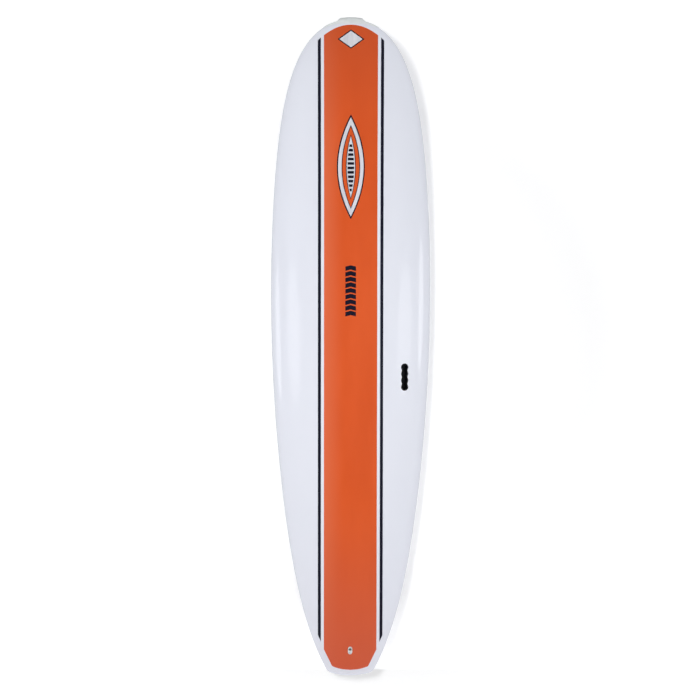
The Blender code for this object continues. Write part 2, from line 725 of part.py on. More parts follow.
def make_vent(mount, plug, top):
    """Vent screw with a slotted flat head, its seal ring and its stepped hole."""
    head_top = top - VENT_SINK
    head_low = head_top - VENT_HEAD_THICKNESS
    seal_low = head_low - GAP - VENT_SEAL_HEIGHT
    tip = head_low - VENT_SHANK_LENGTH
    above = top + 0.01
    shank_hole = VENT_SHANK_RADIUS + GAP
    head_hole = VENT_HEAD_RADIUS + GAP
    chamfer = 0.0006
    edge = chamfer / 2
    centre = (0, VENT_Y)
    hole = turned([(0, tip - chamfer), (shank_hole, tip - chamfer), (shank_hole, seal_low - GAP),
                   (head_hole, seal_low - GAP), (head_hole, above), (0, above)], centre)
    cut([plug], as_guide(add_object("vent_hole", hole, "foam", mount)))
    screw = turned([(0, tip), (VENT_SHANK_RADIUS - chamfer, tip), (VENT_SHANK_RADIUS, tip + chamfer),
                    (VENT_SHANK_RADIUS, head_low), (VENT_HEAD_RADIUS, head_low),
                    (VENT_HEAD_RADIUS, head_top - edge), (VENT_HEAD_RADIUS - edge, head_top),
                    (0, head_top)], centre)
    screw = add_object("vent_screw", screw, "pale plastic", mount, (0, VENT_Y, head_top))
    slot = box((-VENT_HEAD_RADIUS, VENT_Y - VENT_SLOT_HALF, head_top - VENT_HEAD_THICKNESS / 2),
               (VENT_HEAD_RADIUS, VENT_Y + VENT_SLOT_HALF, above))
    cut([screw], as_guide(add_object("vent_slot", slot, "foam", mount)))
    ring_outer = rod(VENT_HEAD_RADIUS - GAP, seal_low, head_low - GAP, centre)
    seal = add_object("vent_seal", ring_outer, "seal rubber", mount)
    ring_hole = rod(shank_hole, tip, above, centre)
    cut([seal], as_guide(add_object("vent_seal_hole", ring_hole, "foam", mount)))


# ------------------------------------------------------------------ fins
def fin_blade(base_rear, base_front, height, tip_y, half_thick, hollow, lean, rows=12, columns=8):
    """Swept fin blade with a symmetric foil, standing along local Z."""
    left, right = [], []
    for i in range(rows + 1):
        s = math.sin(math.pi / 2 * i / rows)
        front = base_front - (base_front - tip_y) * s**lean
        rear = base_rear + hollow * math.sin(math.pi * s) + (tip_y - base_rear) * s**3
        half = half_thick * (1 - 0.72 * s) * math.sqrt(max(0.0, 1 - s**12))
        line = []
        for j in range(columns + 1):
            c = 0.5 - 0.5 * math.cos(math.pi * j / columns)
            foil = 2.6 * math.sqrt(1 - c) * c if c > 0 else 0.0
            line.append((half * min(1.0, foil), rear + (front - rear) * c, height * s))
        left.append([(-x, y, z) for x, y, z in line])
        right.append(line)
    return grid_solid(left, right)


def make_fin_box(skins, mount):
    half_width = FIN_BOX_WIDTH / 2
    case = prism(stadium(half_width, FIN_BOX_LENGTH), -FIN_BOX_DEPTH, BOX_PROUD)
    case = add_object("fin_box", case, "black plastic", mount)
    half_slot = SLOT_LENGTH / 2
    above = 0.01
    slot = box((-SLOT_WIDTH / 2, -half_slot, -SLOT_DEPTH), (SLOT_WIDTH / 2, half_slot, above))
    half_channel = half_slot - CHANNEL_INSET
    channel = box((-CHANNEL_WIDTH / 2, -half_channel, -CHANNEL_BOTTOM),
                  (CHANNEL_WIDTH / 2, half_channel, -CHANNEL_TOP))
    notch = box((-CHANNEL_WIDTH / 2, -NOTCH_HALF, -CHANNEL_TOP - 0.001),
                (CHANNEL_WIDTH / 2, NOTCH_HALF, above))
    for name, bm in (("fin_slot", slot), ("fin_channel", channel), ("fin_notch", notch)):
        cut([case], as_guide(add_object(name, bm, "foam", mount)))
    room = prism(stadium(half_width + GAP, FIN_BOX_LENGTH + 2 * GAP), -FIN_BOX_DEPTH - GAP, above)
    cut(skins, as_guide(add_object("fin_box_room", room, "foam", mount)))


def make_centre_fin(mount):
    base_rear = FIN_PIN_Y + 0.0035
    blade = fin_blade(base_rear, FIN_BASE_FRONT, FIN_HEIGHT, FIN_TIP_Y, FIN_HALF_THICKNESS,
                      FIN_HOLLOW, FIN_LEAN)
    bmesh.ops.translate(blade, verts=blade.verts, vec=(0, 0, FIN_FOOT - FOOT_OVERLAP))
    pivot = (0, FIN_PIN_Y, -FIN_PIN_DEPTH)
    fin = add_object("centre_fin", blade, "fin glass", mount, pivot)
    half = FIN_TAB_WIDTH / 2
    tab = box((-half, FIN_TAB_REAR, -FIN_TAB_DEPTH), (half, FIN_TAB_FRONT, FIN_FOOT))
    lug_half = half - 0.0002
    lug = box((-lug_half, FIN_TAB_FRONT - 0.001, -FIN_LUG_BOTTOM),
              (lug_half, FIN_LUG_FRONT, -FIN_LUG_TOP))
    rear = box((-half * 2, FIN_TAB_REAR - 0.001, -FIN_HEEL_GAP),
               (half * 2, base_rear - 0.0005, FIN_FOOT + 0.0002))
    pin_hole = cross_rod(FIN_PIN_RADIUS + GAP, 0.01, FIN_PIN_Y, -FIN_PIN_DEPTH)
    screw_hole = rod(FIN_LUG_HOLE_RADIUS, -FIN_LUG_BOTTOM * 2, 0.0, (0, FIN_SCREW_Y))
    for name, bm in (("fin_tab", tab), ("fin_lug", lug)):
        combine(fin, as_guide(add_object(name, bm, "foam", mount)), "UNION")
    for name, bm in (("fin_heel", rear), ("fin_pin_hole", pin_hole), ("fin_screw_hole", screw_hole)):
        cut([fin], as_guide(add_object(name, bm, "foam", mount)))
    pin = cross_rod(FIN_PIN_RADIUS, CHANNEL_WIDTH / 2 - CHANNEL_PLAY, FIN_PIN_Y, -FIN_PIN_DEPTH)
    add_object("fin_cross_pin", pin, "brass", mount, pivot)


def make_fin_fasteners(mount):
    centre = (0, FIN_SCREW_Y)
    half_width = CHANNEL_WIDTH / 2 - CHANNEL_PLAY
    plate = box((-half_width, FIN_SCREW_Y - PLATE_HALF_LENGTH, -PLATE_BOTTOM),
                (half_width, FIN_SCREW_Y + PLATE_HALF_LENGTH, -PLATE_TOP))
    plate = add_object("fin_nut_plate", plate, "brass", mount, (0, FIN_SCREW_Y, -PLATE_TOP))
    hole = rod(PLATE_HOLE_RADIUS, -PLATE_BOTTOM * 2, 0.0, centre)
    cut([plate], as_guide(add_object("plate_hole", hole, "foam", mount)))
    top = -FIN_LUG_TOP + FIN_SCREW_HEAD
    low = -FIN_LUG_TOP + GAP
    tip = FIN_SCREW_TIP
    radius = FIN_SCREW_RADIUS
    head = FIN_SCREW_HEAD_RADIUS
    chamfer = 0.0005
    screw = turned([(0, tip), (radius - chamfer, tip), (radius, tip + chamfer), (radius, low),
                    (head, low), (head, top - chamfer), (head - chamfer, top), (0, top)], centre)
    screw = add_object("fin_screw", screw, "steel", mount, (0, FIN_SCREW_Y, top))
    slot_half = head * 0.15
    slot = box((-head * 1.1, FIN_SCREW_Y - slot_half, (top + low) / 2),
               (head * 1.1, FIN_SCREW_Y + slot_half, top + 0.001))
    cut([screw], as_guide(add_object("fin_screw_slot", slot, "foam", mount)))


def make_centre_fin_set(skins, core):
    mount = mount_empty("fin_box_mount", surface_frame(0.0, FIN_BOX_Z, -1))
    half_x = FIN_BOX_WIDTH / 2 + BLOCK_MARGIN_X
    half_y = FIN_BOX_LENGTH / 2 + BLOCK_MARGIN_Y
    deep = -FIN_BOX_DEPTH - BLOCK_UNDER
    block = add_object("fin_box_block", box((-half_x, -half_y, deep), (half_x, half_y, 0.02)),
                       "dense foam", mount)
    seat = box((-half_x - GAP, -half_y - GAP, deep - GAP), (half_x + GAP, half_y + GAP, 0.03))
    cut(core, as_guide(add_object("fin_block_seat", seat, "foam", mount)))
    make_fin_box(skins + [block], mount)
    make_centre_fin(mount)
    make_fin_fasteners(mount)
    return block


def make_side_fin_set(side_name, sign, skins, core):
    frame = surface_frame(sign * SIDE_FIN_X, SIDE_FIN_Z, -1)
    toe = Matrix.Rotation(-sign * SIDE_FIN_TOE, 4, "Z")
    mount = mount_empty(f"side_fin_mount_{side_name}", frame @ toe)
    half_width = SIDE_BOX_WIDTH / 2
    case = add_object(f"side_fin_box_{side_name}",
                      prism(stadium(half_width, SIDE_BOX_LENGTH), -SIDE_BOX_DEPTH, BOX_PROUD),
                      "black plastic", mount)
    slot = box((-SIDE_SLOT_WIDTH / 2, SIDE_SLOT_REAR, -SIDE_SLOT_DEPTH),
               (SIDE_SLOT_WIDTH / 2, SIDE_SLOT_FRONT, 0.01))
    cut([case], as_guide(add_object(f"side_slot_{side_name}", slot, "foam", mount)))
    thread = rod(SIDE_SCREW_RADIUS + GAP, -SIDE_THREAD_DEPTH, 0.01, (0, SIDE_SCREW_Y))
    cut([case], as_guide(add_object(f"side_thread_{side_name}", thread, "foam", mount)))
    make_side_fin(side_name, sign, mount)
    make_grub_screw(side_name, mount)
    half_x = half_width + BLOCK_MARGIN_X
    half_y = SIDE_BOX_LENGTH / 2 + BLOCK_MARGIN_Y
    deep = -SIDE_BOX_DEPTH - BLOCK_UNDER
    block = add_object(f"side_fin_block_{side_name}",
                       box((-half_x, -half_y, deep), (half_x, half_y, 0.02)), "dense foam", mount)
    seat = box((-half_x - GAP, -half_y - GAP, deep - GAP), (half_x + GAP, half_y + GAP, 0.03))
    cut(core, as_guide(add_object(f"side_block_seat_{side_name}", seat, "foam", mount)))
    room = prism(stadium(half_width + GAP, SIDE_BOX_LENGTH + 2 * GAP), -SIDE_BOX_DEPTH - GAP, 0.01)
    cut(skins + [block], as_guide(add_object(f"side_box_room_{side_name}", room, "foam", mount)))
    return block


def make_side_fin(side_name, sign, mount):
    """Side fin whose blade leans outward; its tab stands square in the box."""
    blade = fin_blade(SIDE_FIN_BASE_REAR, SIDE_FIN_BASE_FRONT, SIDE_FIN_HEIGHT, SIDE_FIN_TIP_Y,
                      SIDE_FIN_HALF_THICKNESS, SIDE_FIN_HOLLOW, SIDE_FIN_LEAN, 9, 8)
    lean = Matrix.Rotation(-sign * SIDE_FIN_CANT, 4, "Y")
    up = Matrix.Translation((0, 0, SIDE_FIN_FOOT - FOOT_OVERLAP))
    bmesh.ops.transform(blade, matrix=up @ lean, verts=blade.verts)
    fin = add_object(f"side_fin_{side_name}", blade, "fin glass", mount)
    tab = box((-SIDE_TAB_HALF, SIDE_SLOT_REAR + SIDE_TAB_GAP, -SIDE_SLOT_DEPTH + SIDE_TAB_FLOOR_GAP),
              (SIDE_TAB_HALF, SIDE_SLOT_FRONT - SIDE_TAB_GAP, SIDE_FIN_FOOT))
    combine(fin, as_guide(add_object(f"side_tab_{side_name}", tab, "foam", mount)), "UNION")


def make_grub_screw(side_name, mount):
    top = BOX_PROUD - SIDE_SCREW_SINK
    tip = top - SIDE_SCREW_LENGTH
    radius = SIDE_SCREW_RADIUS
    chamfer = 0.0005
    profile = [(0, tip), (radius - chamfer, tip), (radius, tip + chamfer), (radius, top - chamfer),
               (radius - chamfer, top), (0, top)]
    centre = (0, SIDE_SCREW_Y)
    screw = add_object(f"side_fin_screw_{side_name}", turned(profile, centre), "steel", mount,
                       (0, SIDE_SCREW_Y, top))
    socket = rod(SIDE_SOCKET_RADIUS, top - SIDE_SOCKET_DEPTH, top + 0.002, centre, 6)
    cut([screw], as_guide(add_object(f"side_socket_{side_name}", socket, "foam", mount)))


# ------------------------------------------------------------------ nose guard
def guard_blank(half_span, top_half, ahead, reach, half_height, steps):
    """Bent bar around the nose's edge, with an oval section that shrinks at both ends.

    Its front stands ahead of the hull's edge by a thin lip at half_span and by the full
    measure inside top_half; its lips reach back over deck and bottom.
    """
    bm = bmesh.new()
    rings = []
    around = 16
    inner = [top_half * (2 * i / steps - 1) for i in range(steps + 1)]
    for x in [-half_span] + inner + [half_span]:
        share = abs(x) / NOSE_END_HALF
        z = HALF_LENGTH - NOSE_BOW * share**NOSE_BOW_POWER
        slope = NOSE_BOW * NOSE_BOW_POWER / NOSE_END_HALF * share ** (NOSE_BOW_POWER - 1)
        out = Vector((math.copysign(slope, x), 0, 1)).normalized()
        ease = math.sqrt(1 - 0.90 * (x / half_span) ** 2)
        front = ahead if abs(x) <= top_half else GUARD_WING_AHEAD
        edge = Vector((x, -rocker(z) - NOSE_THICKNESS * APEX_SHARE, z))
        ring = []
        for k in range(around):
            a = 2 * math.pi * k / around
            length = front if math.cos(a) > 0 else reach * ease
            lift = half_height * (0.55 + 0.45 * ease) * math.sin(a)
            ring.append(bm.verts.new(edge + out * length * math.cos(a) + Vector((0, lift, 0))))
        rings.append(ring)
    for low, high in zip(rings, rings[1:]):
        for k in range(around):
            m = (k + 1) % around
            bm.faces.new((low[k], low[m], high[m], high[k]))
    bm.faces.new(rings[0])
    bm.faces.new(rings[-1])
    return bm


def make_nose_guard(clearance):
    wing_top_half = GUARD_WING_HALF * 0.96
    guard = guard_blank(GUARD_WING_HALF, wing_top_half, GUARD_WING_AHEAD, GUARD_WING_REACH,
                        GUARD_WING_HEIGHT, 18)
    guard = add_object("nose_guard", guard, "clear rubber")
    bump = guard_blank(GUARD_BUMP_HALF, GUARD_BUMP_TOP_HALF, GUARD_BUMP_AHEAD, GUARD_BUMP_REACH,
                       GUARD_BUMP_HEIGHT, 10)
    combine(guard, as_guide(add_object("guard_bump", bump, "foam")), "UNION")
    combine(guard, clearance, "DIFFERENCE")


# ------------------------------------------------------------------ the whole board
def build():
    clear_scene()
    deck, bottom = make_shells()
    core = make_core()
    inner = make_envelope("core_envelope", SKIN + GAP)
    outer = make_envelope("guard_clearance", -FILM_LOW)
    band = make_graphics()
    blocks = [make_grip([deck], core), make_leash_plug([deck], band, core),
              make_centre_fin_set([bottom], core)]
    for side_name, sign in (("left", -1), ("right", 1)):
        blocks.append(make_side_fin_set(side_name, sign, [bottom], core))
    for block in blocks:
        combine(block, inner, "INTERSECT")
    make_nose_guard(outer)


build()
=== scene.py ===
"""Looks of a longboard surfboard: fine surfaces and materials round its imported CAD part.

Metres, the board stands nose up (+Z) with its deck facing -Y.
"""

import json
import math

import bmesh
import bpy
from mathutils import Matrix, Quaternion, Vector


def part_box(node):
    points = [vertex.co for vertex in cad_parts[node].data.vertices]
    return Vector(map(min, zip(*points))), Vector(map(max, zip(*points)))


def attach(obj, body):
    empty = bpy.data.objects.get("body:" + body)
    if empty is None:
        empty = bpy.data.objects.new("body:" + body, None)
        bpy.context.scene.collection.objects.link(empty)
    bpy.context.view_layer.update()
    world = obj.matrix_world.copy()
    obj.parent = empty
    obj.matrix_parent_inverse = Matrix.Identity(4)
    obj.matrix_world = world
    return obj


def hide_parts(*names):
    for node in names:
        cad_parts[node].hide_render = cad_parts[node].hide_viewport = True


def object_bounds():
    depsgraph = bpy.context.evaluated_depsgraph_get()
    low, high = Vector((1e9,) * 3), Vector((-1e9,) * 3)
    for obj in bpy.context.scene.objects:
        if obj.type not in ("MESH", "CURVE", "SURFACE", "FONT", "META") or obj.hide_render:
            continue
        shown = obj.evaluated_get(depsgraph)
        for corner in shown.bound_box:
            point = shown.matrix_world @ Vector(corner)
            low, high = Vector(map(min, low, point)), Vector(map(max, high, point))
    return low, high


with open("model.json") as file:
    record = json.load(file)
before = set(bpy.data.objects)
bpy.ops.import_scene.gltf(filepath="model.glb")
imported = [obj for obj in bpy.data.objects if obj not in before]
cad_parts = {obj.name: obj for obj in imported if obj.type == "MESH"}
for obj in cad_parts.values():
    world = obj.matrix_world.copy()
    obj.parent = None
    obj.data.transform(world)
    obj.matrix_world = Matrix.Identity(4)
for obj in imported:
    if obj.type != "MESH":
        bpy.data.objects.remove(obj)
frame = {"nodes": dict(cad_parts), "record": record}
cad_low, cad_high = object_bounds()

# ----- sizes
HULL_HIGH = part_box("bottom_shell")[1]
HALF_LENGTH = HULL_HIGH.z
HALF_WIDTH = HULL_HIGH.x
WIDE_POINT_Z = 0.24  # where the board is widest, above the middle
THICKNESS = 0.089
APEX_SHARE = 0.42  # height of the rail's edge, as a share of the thickness
TAIL_THICKNESS = 0.018
NOSE_THICKNESS = 0.016
FOIL_POWER = 2.6
FOIL_FALL = 0.85
NOSE_ROCKER = 0.115
TAIL_ROCKER = 0.055
NOSE_ROCKER_POWER = 2.7
TAIL_ROCKER_POWER = 2.3
ROCKER_FLAT = 0.140
NOSE_CURVE_SHARE = 0.62
NOSE_CURVE_POWER = 5.85
NOSE_ROUNDING = 0.438
TAIL_CURVE_SHARE = 0.71
TAIL_CURVE_POWER = 8.1
TAIL_BLOCK_HALF = 0.0816
TAIL_END_RADIUS = 0.244
TAIL_CORNER_RADIUS = 0.016
TAIL_END_HALF = TAIL_BLOCK_HALF + 0.004 - TAIL_CORNER_RADIUS
NOSE_END_HALF = 0.070
DECK_POWER = 2.3
BOTTOM_POWER = 3.0
BOTTOM_FLAT_SHARE = 0.30
END_ROUND = 0.030
END_POWER = 2.2
BOW_REACH = 0.12
GAP = 0.0003  # between pieces that fit one in the other
SKIN = 0.0025
STATIONS = 150  # rows of the hull's grid, from tail to nose
COLUMNS = 52

BAND_LOW, BAND_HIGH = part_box("deck_band")
BAND_HALF = BAND_HIGH.x
BAND_TOP_Z = BAND_HIGH.z
BAND_END_Z = BAND_LOW.z
BAND_TOP_CORNER_Z = 1.238
BAND_TAIL_CORNER_Z = -1.187
BAND_END_HALF = 0.072
BAND_END_CORNER_Z = -1.2545
STRIPE_LOW, STRIPE_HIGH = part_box("pinstripe_right")
STRIPE_SLANT = 0.012
STRIPE_TAIL_SLANT = 0.027
CHEVRON_COUNT = 9
CHEVRON_STROKE = 0.76  # thickness of a chevron, as a share of the pitch
PAINT = 0.00006  # thickness of one painted layer under the gloss


# ----- materials
def fill_inputs(tree, node, inputs):
    """Link each input that is given another node's output, and set the rest to their value."""
    for label, value in inputs.items():
        if isinstance(value, bpy.types.NodeSocket):
            tree.links.new(value, node.inputs[label])
        else:
            node.inputs[label].default_value = value


def add_node(tree, kind, inputs=None, **settings):
    """Make a shader node and give back its outputs."""
    made = tree.nodes.new(f"ShaderNode{kind}")
    for name, value in settings.items():
        setattr(made, name, value)
    fill_inputs(tree, made, inputs or {})
    return made.outputs


def new_material(name):
    made = bpy.data.materials.new(name)
    made.use_nodes = True
    return made, made.node_tree


def dress(material, inputs):
    """Set or link inputs of a material's shader."""
    tree = material.node_tree
    fill_inputs(tree, tree.nodes["Principled BSDF"], inputs)
    return material


def noise(tree, scale, stretch=(1, 1, 1), detail=3.0, roughness=0.5):
    """Noise in metres of the piece's own frame, so that it keeps its scale."""
    place = add_node(tree, "TexCoord")["Object"]
    mapped = add_node(tree, "Mapping", {"Vector": place, "Scale": stretch})["Vector"]
    return add_node(tree, "TexNoise", {"Vector": mapped, "Scale": scale, "Detail": detail,
                                       "Roughness": roughness})["Fac"]


def coordinate(tree, kind, axis):
    """One axis of the piece's own place: "Object" in metres, "Generated" as a share of its box."""
    place = add_node(tree, "TexCoord")[kind]
    return add_node(tree, "SeparateXYZ", {0: place})[axis]


def arithmetic(tree, operation, first, second):
    return add_node(tree, "Math", {0: first, 1: second}, operation=operation)[0]


def ramp(tree, source, low, high, start=0.3, end=0.7):
    """Colour that goes from low to high as the source goes from start to end."""
    blend = tree.nodes.new("ShaderNodeValToRGB")
    for stop, position, colour in zip(blend.color_ramp.elements, (start, end), (low, high)):
        stop.position = position
        stop.color = (*colour, 1.0)
    tree.links.new(source, blend.inputs["Fac"])
    return blend.outputs["Color"]


def spread(tree, source, low, high, start=0.0, end=1.0, ease="LINEAR"):
    """Value that goes from low to high as the source goes from start to end."""
    return add_node(tree, "MapRange", {"Value": source, "From Min": start, "From Max": end,
                                       "To Min": low, "To Max": high},
                    interpolation_type=ease)["Result"]


def bump(tree, source, depth, strength):
    return add_node(tree, "Bump", {"Height": source, "Distance": depth,
                                   "Strength": strength})["Normal"]


def fade_to_painted_tone(tree, colour, axis, start, end, painted_tone):
    """Fade a colour into a painted light or shade tone as an axis of the piece's own frame goes from
    start to end.
    """
    place = coordinate(tree, "Object", axis)
    share = spread(tree, place, 0.0, 1.0, start, end, "SMOOTHSTEP")
    return add_node(tree, "Mix", {"Factor": share, "A": colour, "B": (*painted_tone, 1.0)},
                    data_type="RGBA")["Result"]


def gloss(name, dark, light, mottle, painted_tones=(), stretch=(1, 1, 0.25), roughness=0.16):
    """Colour under a clear polished coat, with a faint mottle and orange peel, and any painted light
    and shade faded into it along the piece.
    """
    made, tree = new_material(name)
    colour = ramp(tree, noise(tree, mottle, stretch, 4.0), dark, light)
    # fade in painted light and shade: colour tones that stand in for how the light falls along the
    # piece
    for painted_tone in painted_tones:
        colour = fade_to_painted_tone(tree, colour, *painted_tone)
    haze = noise(tree, 9.0, (1, 1, 0.5), 2.0)
    ripple = noise(tree, 55.0, (1, 1, 0.6), 1.5)
    return dress(made, {
        "Base Color": colour,
        "Roughness": spread(tree, haze, roughness * 0.8, roughness * 1.3),
        "Specular IOR Level": 0.15,
        "Coat Weight": 1.0,
        "Coat Roughness": 0.03,
        "Coat IOR": 1.5,
        "Coat Normal": bump(tree, ripple, 0.00002, 0.5),
    })


def moulded(name, dark, light, roughness, grain=900.0, depth=0.00003):
    """Moulded plastic or rubber with a fine grain."""
    made, tree = new_material(name)
    cloud = noise(tree, 40.0)
    return dress(made, {
        "Base Color": ramp(tree, cloud, dark, light),
        "Roughness": spread(tree, cloud, roughness * 0.85, roughness * 1.2),
        "Normal": bump(tree, noise(tree, grain, detail=2.0), depth, 0.6),
    })


def metal(name, dark, light):
    """Bare metal with fine turning marks."""
    made, tree = new_material(name)
    lines = noise(tree, 500.0, (1, 1, 12))
    return dress(made, {
        "Metallic": 1.0,
        "Base Color": ramp(tree, lines, dark, light),
        "Roughness": spread(tree, lines, 0.182, 0.364),
        "Normal": bump(tree, lines, 0.00001, 0.4),
    })


def silver_paint(name):
    """Silver paint under the gloss, faintly brushed along the board."""
    made = gloss(name, (0.68, 0.685, 0.74), (0.82, 0.825, 0.88), 60.0,
                 stretch=(1, 1, 0.05), roughness=0.34)
    return dress(made, {"Metallic": 0.12})


def soft_clear(name):
    """Milky see-through rubber."""
    made = moulded(name, (0.74, 0.77, 0.765), (0.80, 0.83, 0.83), 0.34, 260.0, 0.00004)
    return dress(made, {"Transmission Weight": 0.12, "IOR": 1.42, "Coat Weight": 0.25})


def glass_cloth(name):
    """Dark fibreglass laid up from crossed cloth, polished."""
    made, tree = new_material(name)
    place = add_node(tree, "TexCoord")["Object"]
    values = {"Vector": place, "Scale": 95.0, "Distortion": 1.2, "Detail": 1.0}
    threads = [add_node(tree, "TexWave", values, bands_direction=way)["Fac"] for way in ("Y", "Z")]
    weave = arithmetic(tree, "MULTIPLY", *threads)
    colours = (0.010, 0.013, 0.020), (0.050, 0.060, 0.078)
    return dress(made, {
        "Base Color": ramp(tree, weave, *colours, 0.1, 0.9),
        "Roughness": spread(tree, noise(tree, 14.0), 0.16, 0.30),
        "Normal": bump(tree, weave, 0.00004, 0.3),
        "Coat Weight": 0.9,
        "Coat Roughness": 0.04,
    })


def bead_foam(name, dark, light, cells=260.0):
    """Foam of fused beads, darker in the seams between them."""
    made, tree = new_material(name)
    place = add_node(tree, "TexCoord")["Object"]
    away = add_node(tree, "TexVoronoi", {"Vector": place, "Scale": cells})["Distance"]
    return dress(made, {
        "Base Color": ramp(tree, away, light, dark, 0.2, 0.9),
        "Roughness": 0.85,
        "Normal": bump(tree, away, 0.0004, 0.5),
    })


def wood_grain(name):
    """Light wood, its grain along the board."""
    made, tree = new_material(name)
    grain = noise(tree, 120.0, (1, 1, 0.04), 5.0, 0.6)
    return dress(made, {
        "Base Color": ramp(tree, grain, (0.36, 0.20, 0.09), (0.66, 0.45, 0.25)),
        "Roughness": spread(tree, grain, 0.5, 0.75),
        "Normal": bump(tree, grain, 0.0002, 0.4),
    })


# painted light on the orange: it pales towards the left rail as a painted sheen, and deepens towards
# both ends as painted shade
ORANGE_PAINTED_LIGHT = (("X", -0.02, -0.125, (0.745, 0.150, 0.060)),
                ("Z", -0.50, -1.45, (0.648, 0.114, 0.053)),
                ("Z", 0.60, 1.70, (0.580, 0.083, 0.024)))

LOOKS = {name: make(name, *values) for name, make, *values in (
    ("gloss_white", gloss, (0.772, 0.792, 0.868), (0.812, 0.832, 0.903), 2.5),
    # the orange carries painted light: a painted sheen towards the left rail, painted shade towards
    # both ends
    ("gloss_orange", gloss, (0.690, 0.090, 0.0150), (0.760, 0.108, 0.0205), 9.0, ORANGE_PAINTED_LIGHT),
    ("dark_film", gloss, (0.0060, 0.0056, 0.0160), (0.0085, 0.0080, 0.0220), 30.0),
    ("silver_film", silver_paint),
    ("guard_rubber", soft_clear),
    ("black_plastic", moulded, (0.003, 0.0035, 0.007), (0.008, 0.0085, 0.013), 0.5),
    ("pale_plastic", moulded, (0.62, 0.63, 0.62), (0.74, 0.75, 0.74), 0.36),
    ("seal_rubber", moulded, (0.012, 0.012, 0.012), (0.030, 0.030, 0.030), 0.60),
    ("fin_glass", glass_cloth),
    ("steel", metal, (0.46, 0.46, 0.47), (0.66, 0.66, 0.66)),
    ("brass", metal, (0.52, 0.36, 0.14), (0.74, 0.56, 0.27)),
    ("foam", bead_foam, (0.68, 0.68, 0.66), (0.88, 0.88, 0.86)),
    ("dense_foam", bead_foam, (0.48, 0.34, 0.18), (0.70, 0.54, 0.32), 900.0),
    ("stringer_wood", wood_grain),
)}
SLOT_OF_NODE = {entry["node"]: entry["material_slot"] for entry in frame["record"]["subparts"]}


# ----- mesh helpers
def place_object(name, data):
    obj = bpy.data.objects.new(name, data)
    bpy.context.scene.collection.objects.link(obj)
    return obj


def mesh_object(name, bm):
    mesh = bpy.data.meshes.new(name)
    bm.to_mesh(mesh)
    bm.free()
    return place_object(name, mesh)


def add_object(name, bm, local_frame=None):
    """Make an object from a bmesh drawn in the given frame."""
    bmesh.ops.remove_doubles(bm, verts=bm.verts, dist=1e-6)
    bmesh.ops.recalc_face_normals(bm, faces=bm.faces)
    if local_frame is not None:
        bmesh.ops.transform(bm, matrix=local_frame, verts=bm.verts)
    return mesh_object(name, bm)


def helpers(local_frame, *solids):
    """Objects that only join or cut a piece."""
    return [add_object("helper", bm, local_frame) for bm in solids]


def combine(obj, others, operation):
    for other in others:
        step = obj.modifiers.new(operation.lower(), "BOOLEAN")
        step.operation = operation
        step.object = other
        step.solver = "EXACT"


def soften(obj, width, angle=35):
    """Round the sharp edges."""
    step = obj.modifiers.new("soften", "BEVEL")
    step.width = width
    step.segments = 2
    step.limit_method = "ANGLE"
    step.angle_limit = math.radians(angle)


def shape(obj, joined=(), cut=(), edge=()):
    """Join helper solids to a piece, cut others out, round its edges, and remove the helpers."""
    combine(obj, joined, "UNION")
    combine(obj, cut, "DIFFERENCE")
    if edge:
        soften(obj, *edge)
    bpy.context.view_layer.update()
    graph = bpy.context.evaluated_depsgraph_get()
    made = bpy.data.meshes.new_from_object(obj.evaluated_get(graph))
    obj.modifiers.clear()
    old = obj.data
    obj.data = made
    bpy.data.meshes.remove(old)
    for helper in (*joined, *cut):
        bpy.data.objects.remove(helper, do_unlink=True)


def paint(obj, slot):
    obj.data.materials.clear()
    obj.data.materials.append(LOOKS[slot])


def finish_piece(obj, slot, body, nodes=(), sharp=35):
    """Shade, colour and mount a piece, and hide the CAD nodes that it stands for."""
    obj.data.shade_smooth()
    obj.data.set_sharp_from_angle(angle=math.radians(sharp))
    paint(obj, slot)
    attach(obj, body)
    if nodes:
        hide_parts(*nodes)


def add_grid(bm, top, bottom):
    """Add a closed solid between two grids of points with the same rows and columns."""
    rows = len(top)
    columns = len(top[0])
    sheets = [[[bm.verts.new(p) for p in row] for row in sheet] for sheet in (top, bottom)]
    for i in range(rows - 1):
        for j in range(columns - 1):
            for sheet in sheets:
                bm.faces.new((sheet[i][j], sheet[i][j + 1], sheet[i + 1][j + 1], sheet[i + 1][j]))
    border = [(0, j) for j in range(columns - 1)]
    border += [(i, columns - 1) for i in range(rows - 1)]
    border += [(rows - 1, j) for j in range(columns - 1, 0, -1)]
    border += [(i, 0) for i in range(rows - 1, 0, -1)]
    for (i, j), (k, m) in zip(border, border[1:] + border[:1]):
        bm.faces.new((sheets[0][i][j], sheets[0][k][m], sheets[1][k][m], sheets[1][i][j]))


def grid_solid(top, bottom):
    bm = bmesh.new()
    add_grid(bm, top, bottom)
    return bm


def loft(rings):
    """Closed solid through rings of equal count, capped at both ends."""
    bm = bmesh.new()
    made = [[bm.verts.new(p) for p in ring] for ring in rings]
    count = len(rings[0])
    for low, high in zip(made, made[1:]):
        for i in range(count):
            k = (i + 1) % count
            bm.faces.new((low[i], low[k], high[k], high[i]))
    bm.faces.new(made[0])
    bm.faces.new(made[-1])
    return bm


def box(low, high):
    bm = bmesh.new()
    bmesh.ops.create_cube(bm, size=1.0)
    bmesh.ops.scale(bm, verts=bm.verts, vec=Vector(high) - Vector(low))
    bmesh.ops.translate(bm, verts=bm.verts, vec=(Vector(high) + Vector(low)) / 2)
    return bm


def prism(outline, low, high):
    return loft([[(x, y, z) for x, y in outline] for z in (low, high)])


def arc(centre, radius, start, end, steps):
    angles = [math.radians(start + (end - start) * i / steps) for i in range(steps + 1)]
    return [(centre[0] + radius * math.cos(a), centre[1] + radius * math.sin(a)) for a in angles]


